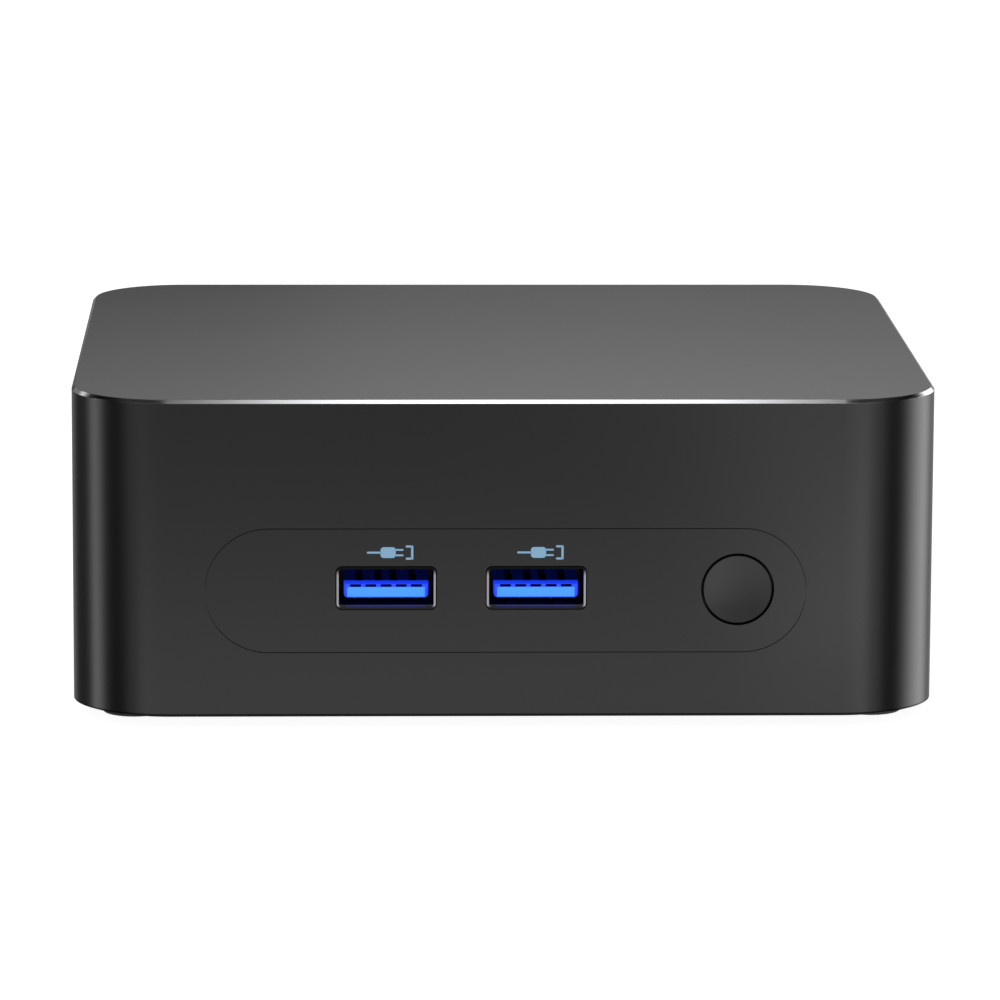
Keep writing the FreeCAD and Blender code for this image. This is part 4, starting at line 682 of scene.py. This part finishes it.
def solder_part(ends, body, at, half, turned, z, height):
    """One part: a body between two tinned ends, which stand a little proud of it."""
    long_way = 1 if turned else 0
    cap = 0.56 * half[long_way]
    top, proud = z - 0.005 * MM, 0.012 * MM
    for end in (-1, 1):
        lo, hi = [at[0] - half[0], at[1] - half[1]], [at[0] + half[0], at[1] + half[1]]
        if end < 0:
            hi[long_way] = lo[long_way] + cap
        else:
            lo[long_way] = hi[long_way] - cap
        add_box(ends, (*lo, top - height - proud), (*hi, top))
    lo = [at[0] - half[0] + proud, at[1] - half[1] + proud]
    hi = [at[0] + half[0] - proud, at[1] + half[1] - proud]
    lo[long_way], hi[long_way] = lo[long_way] + cap, hi[long_way] - cap
    add_box(body, (*lo, top - height), (*hi, top))


front_icons()
seam_filler()
front_gaskets()
board_parts()


# ==== studio ========================================================================================
def staged(name, bm):
    """Studio piece made from this mesh; not part of the object."""
    mesh = bpy.data.meshes.new(name)
    bm.to_mesh(mesh)
    bm.free()
    obj = bpy.data.objects.new(name, mesh)
    bpy.context.scene.collection.objects.link(obj)
    return obj


def sink_with(obj, body):
    """Keeps obj under a body that moves down, so that the floor never hides it."""
    driver = obj.driver_add("location", 2).driver
    driver.type = "SUM"
    drop = driver.variables.new()
    drop.type = "TRANSFORMS"
    drop.targets[0].id = body
    drop.targets[0].transform_type = "LOC_Z"
    drop.targets[0].transform_space = "WORLD_SPACE"


def studio_floor():
    """Pale paper, clear from below. Part of its brightness is its own, so that the shadow on it stays soft."""
    bm = bmesh.new()
    bm.faces.new([bm.verts.new((x, y, 0.0)) for x, y in ((-3, -3), (3, -3), (3, 3), (-3, 3))])
    floor = staged("floor", bm)
    m = Mat("floor_paper")
    cloud = m.noise(0.5, 2.0)
    glow = m.node("ShaderNodeEmission")
    path = m.node("ShaderNodeLightPath")
    seen = m.math("MULTIPLY", path.outputs["Is Camera Ray"], 0.93)
    upward = m.math("MULTIPLY", path.outputs["Is Diffuse Ray"], 0.8)
    m.link(m.math("ADD", seen, upward), glow.inputs["Strength"])
    m.set(color=m.mix(m.remap(cloud, 0.0, 1.0), (0.78, 0.78, 0.78), (0.80, 0.80, 0.80)), rough=0.9, spec=0.0)
    both = m.node("ShaderNodeAddShader")
    m.link(m.bsdf.outputs[0], both.inputs[0])
    m.link(glow.outputs[0], both.inputs[1])
    below = m.node("ShaderNodeMixShader")
    m.link(m.node("ShaderNodeNewGeometry").outputs["Backfacing"], below.inputs[0])
    m.link(both.outputs[0], below.inputs[1])
    m.link(m.node("ShaderNodeBsdfTransparent").outputs[0], below.inputs[2])
    m.link(below.outputs[0], m.out.inputs[0])
    floor.data.materials.append(m.mat)
    floor.visible_glossy = False
    sink_with(floor, frame["bodies"]["base_cover"])


def glow_card(name, corners, shine):
    """Lit card that only reflections see; shine(m) gives its brightness at a point."""
    bm = bmesh.new()
    bm.faces.new([bm.verts.new(c) for c in corners])
    card = staged(name, bm)
    m = Mat(name + "_paper")
    glow = m.node("ShaderNodeEmission")
    m.link(shine(m), glow.inputs["Strength"])
    clear = m.node("ShaderNodeBsdfTransparent")
    both = m.node("ShaderNodeAddShader")
    m.link(clear.outputs[0], both.inputs[0])
    m.link(glow.outputs[0], both.inputs[1])
    m.link(both.outputs[0], m.out.inputs[0])
    card.data.materials.append(m.mat)
    card.visible_camera = card.visible_diffuse = card.visible_shadow = card.visible_transmission = False


def front_card():
    """Lies in front: brighter close by and to the right."""
    def shine(m):
        x = m.axis("X")
        away = m.math("SUBTRACT", -0.047, m.axis("Y"))
        near = m.remap(away, CARD_NEAR, 0.0, 0.023, 0.253, smooth=True)
        across = m.math("SUBTRACT", x, m.math("MULTIPLY", away, 0.07))
        right = m.remap(across, 0.0, CARD_RIGHT, 0.024, 0.044, smooth=True)
        right = m.math("MULTIPLY", right, m.remap(away, 0.25, 1.0, 0.023, 0.093, smooth=True))
        fan = m.math("DIVIDE", m.math("SUBTRACT", m.math("ABSOLUTE", x), 0.044), away)
        return m.math("MULTIPLY", m.total(near, right), m.remap(fan, 1.0, 0.0, 0.55, 0.95, smooth=True))
    z = 0.0005
    glow_card("front_card", ((-0.5, -0.6, z), (0.5, -0.6, z), (0.5, -0.056, z), (-0.5, -0.056, z)), shine)


def back_card():
    """Stands behind: brighter further up, so the top shades off towards the rear."""
    def shine(m):
        rise = m.remap(m.axis("Z"), 0.0, BACK_CARD, 0.074, 0.24)
        return m.math("MULTIPLY", rise, m.hump(m.axis("X"), 0.004, 0.015, 0.31, 1.0))
    y = 0.30
    glow_card("back_card", ((-0.3, y, 0.04), (0.3, y, 0.04), (0.3, y, 0.24), (-0.3, y, 0.24)), shine)


def top_card():
    """Hangs overhead with soft ends; the polished bevel mirrors it."""
    def shine(m):
        return m.hump(m.axis("X"), TOP_CARD_X, 0.030, 0.080, TOP_CARD)
    x0, x1 = TOP_CARD_X - 0.11, TOP_CARD_X + 0.11
    glow_card("top_card", ((x0, -0.19, 0.46), (x1, -0.19, 0.46), (x1, -0.02, 0.46), (x0, -0.02, 0.46)), shine)


# Reflected brightness by compass direction, seen from above: 0 is the front, 90 the right, degrees.
AROUND = (
    (-180, 0.03), (-145, 0.05), (-133, 0.10), (-112, 0.08), (-106, 0.6), (-102, 2.3), (-96, 3.0), (-90, 2.2),
    (-84, 0.75), (-79, 0.2), (-74, 0.05), (-59, 0.03), (-54, 0.20), (-47, 0.75), (-35, 0.80), (-14, 0.60),
    (0, 0.56), (12, 0.64), (28, 1.0), (46, 1.1), (52, 0.6), (57, 0.15), (61, 0.04), (72, 0.04), (77, 0.20),
    (83, 0.7), (89, 1.5), (96, 2.6), (104, 3.5), (121, 3.6), (131, 1.8), (144, 0.15),
)
BACK_LOW = 0.36          # behind and below the horizon
OVERHEAD = 0.9           # high up and behind, for views from above
AROUND_MAX = 4.0
LEAN = 1.2               # the side boxes lean back this many degrees per degree of height
AMBIENT = 0.35
CARD_NEAR, CARD_RIGHT = 0.60, 0.76
BACK_CARD = 1.61
TOP_CARD, TOP_CARD_X = 1.85, 0.0175


def world():
    w = bpy.data.worlds.new("studio")
    bpy.context.scene.world = w
    g = Graph()
    g.start(w, "Generated")
    x, y, z = (g.axis(a) for a in "XYZ")
    compass = g.math("DEGREES", g.math("ARCTAN2", x, g.math("MULTIPLY", y, -1.0)))
    height = g.math("DEGREES", g.math("ARCSINE", z))
    lean = g.math("MULTIPLY", g.math("MAXIMUM", g.math("ADD", height, 10.0), 0.0), LEAN)
    lean = g.math("MINIMUM", lean, g.math("MULTIPLY", g.math("ABSOLUTE", compass), 0.5))
    turned = g.math("SUBTRACT", compass, g.math("MULTIPLY", g.math("SIGN", compass), lean))
    ramp = g.node("ShaderNodeValToRGB")
    stops = ramp.color_ramp.elements
    for stop, (angle, level) in zip((stops[0], stops[1]), (AROUND[0], AROUND[-1])):
        stop.position = angle / 360 + 0.5
        stop.color = (*[level / AROUND_MAX] * 3, 1.0)
    for angle, level in AROUND[1:-1]:
        stop = stops.new(angle / 360 + 0.5)
        stop.color = (*[level / AROUND_MAX] * 3, 1.0)
    g.link(g.math("ADD", g.math("DIVIDE", turned, 360.0), 0.5), ramp.inputs[0])
    low = g.remap(height, AROUND_MAX, 0.1, 12.0, 36.0, smooth=True)
    behind = g.math("MULTIPLY", g.remap(g.math("ABSOLUTE", compass), 0.0, BACK_LOW, 136.0, 156.0, smooth=True),
                    g.remap(height, 1.0, 0.0, -5.0, 1.0, smooth=True))
    overhead = g.math("MULTIPLY", g.remap(height, 0.0, OVERHEAD, 34.0, 55.0, smooth=True),
                      g.math("MULTIPLY", g.remap(y, 0.0, 1.0, 0.05, 0.20, smooth=True),
                             g.remap(g.math("ABSOLUTE", x), 1.0, 0.0, 0.32, 0.48, smooth=True)))
    reflected = g.total(g.math("MULTIPLY", ramp.outputs[0], low), behind, overhead)
    path = g.node("ShaderNodeLightPath")
    glossy, seen = path.outputs["Is Glossy Ray"], path.outputs["Is Camera Ray"]
    level = g.math("ADD", g.math("MULTIPLY", reflected, glossy),
                   g.math("MULTIPLY", g.math("SUBTRACT", 1.0, glossy), AMBIENT))
    level = g.math("MAXIMUM", level, g.math("MULTIPLY", seen, 1.0))
    back = g.node("ShaderNodeBackground")
    g.link(level, back.inputs["Strength"])
    out = g.node("ShaderNodeOutputWorld")
    g.link(back.outputs[0], out.inputs[0])


def area(name, at, look, size, radiance):
    """Soft box of this size, in metres, and brightness."""
    data = bpy.data.lights.new(name, "AREA")
    data.shape = "RECTANGLE"
    data.size, data.size_y = size
    data.energy = radiance * math.pi * size[0] * size[1]
    obj = bpy.data.objects.new(name, data)
    bpy.context.scene.collection.objects.link(obj)
    obj.location = at
    obj.rotation_mode = "QUATERNION"
    obj.rotation_quaternion = (Vector(look) - Vector(at)).to_track_quat("-Z", "Y")
    obj.visible_glossy = False


def camera():
    """Eye at 10 degrees above the horizon, nearly square on to the front."""
    yaw, pitch, roll = (math.radians(a) for a in (1.779, 10.254, -0.251))
    distance, focal = 790.67 * MM, 217.6
    aim = Vector((-0.828, -53.0, 30.584)) * MM
    forward = Vector((math.sin(yaw) * math.cos(pitch), math.cos(yaw) * math.cos(pitch), -math.sin(pitch)))
    right = Vector((math.cos(yaw), -math.sin(yaw), 0))
    down = forward.cross(right)
    r2 = math.cos(roll) * right + math.sin(roll) * down
    up = -(-math.sin(roll) * right + math.cos(roll) * down)
    data = bpy.data.cameras.new("camera")
    data.lens = focal
    data.sensor_width = 36.0
    data.clip_start, data.clip_end = 0.01, 20.0
    obj = bpy.data.objects.new("camera", data)
    bpy.context.scene.collection.objects.link(obj)
    turn = Matrix((r2, up, -forward)).transposed().to_4x4()
    turn.translation = aim - forward * distance
    obj.matrix_world = turn
    bpy.context.scene.camera = obj


studio_floor()
front_card()
back_card()
top_card()
world()
area("overhead", (0.012, -0.10, 0.46), (0.012, -0.05, 0.04), (0.125, 0.20), 1.7)
camera()

scene = bpy.context.scene
scene.view_settings.view_transform = "Standard"
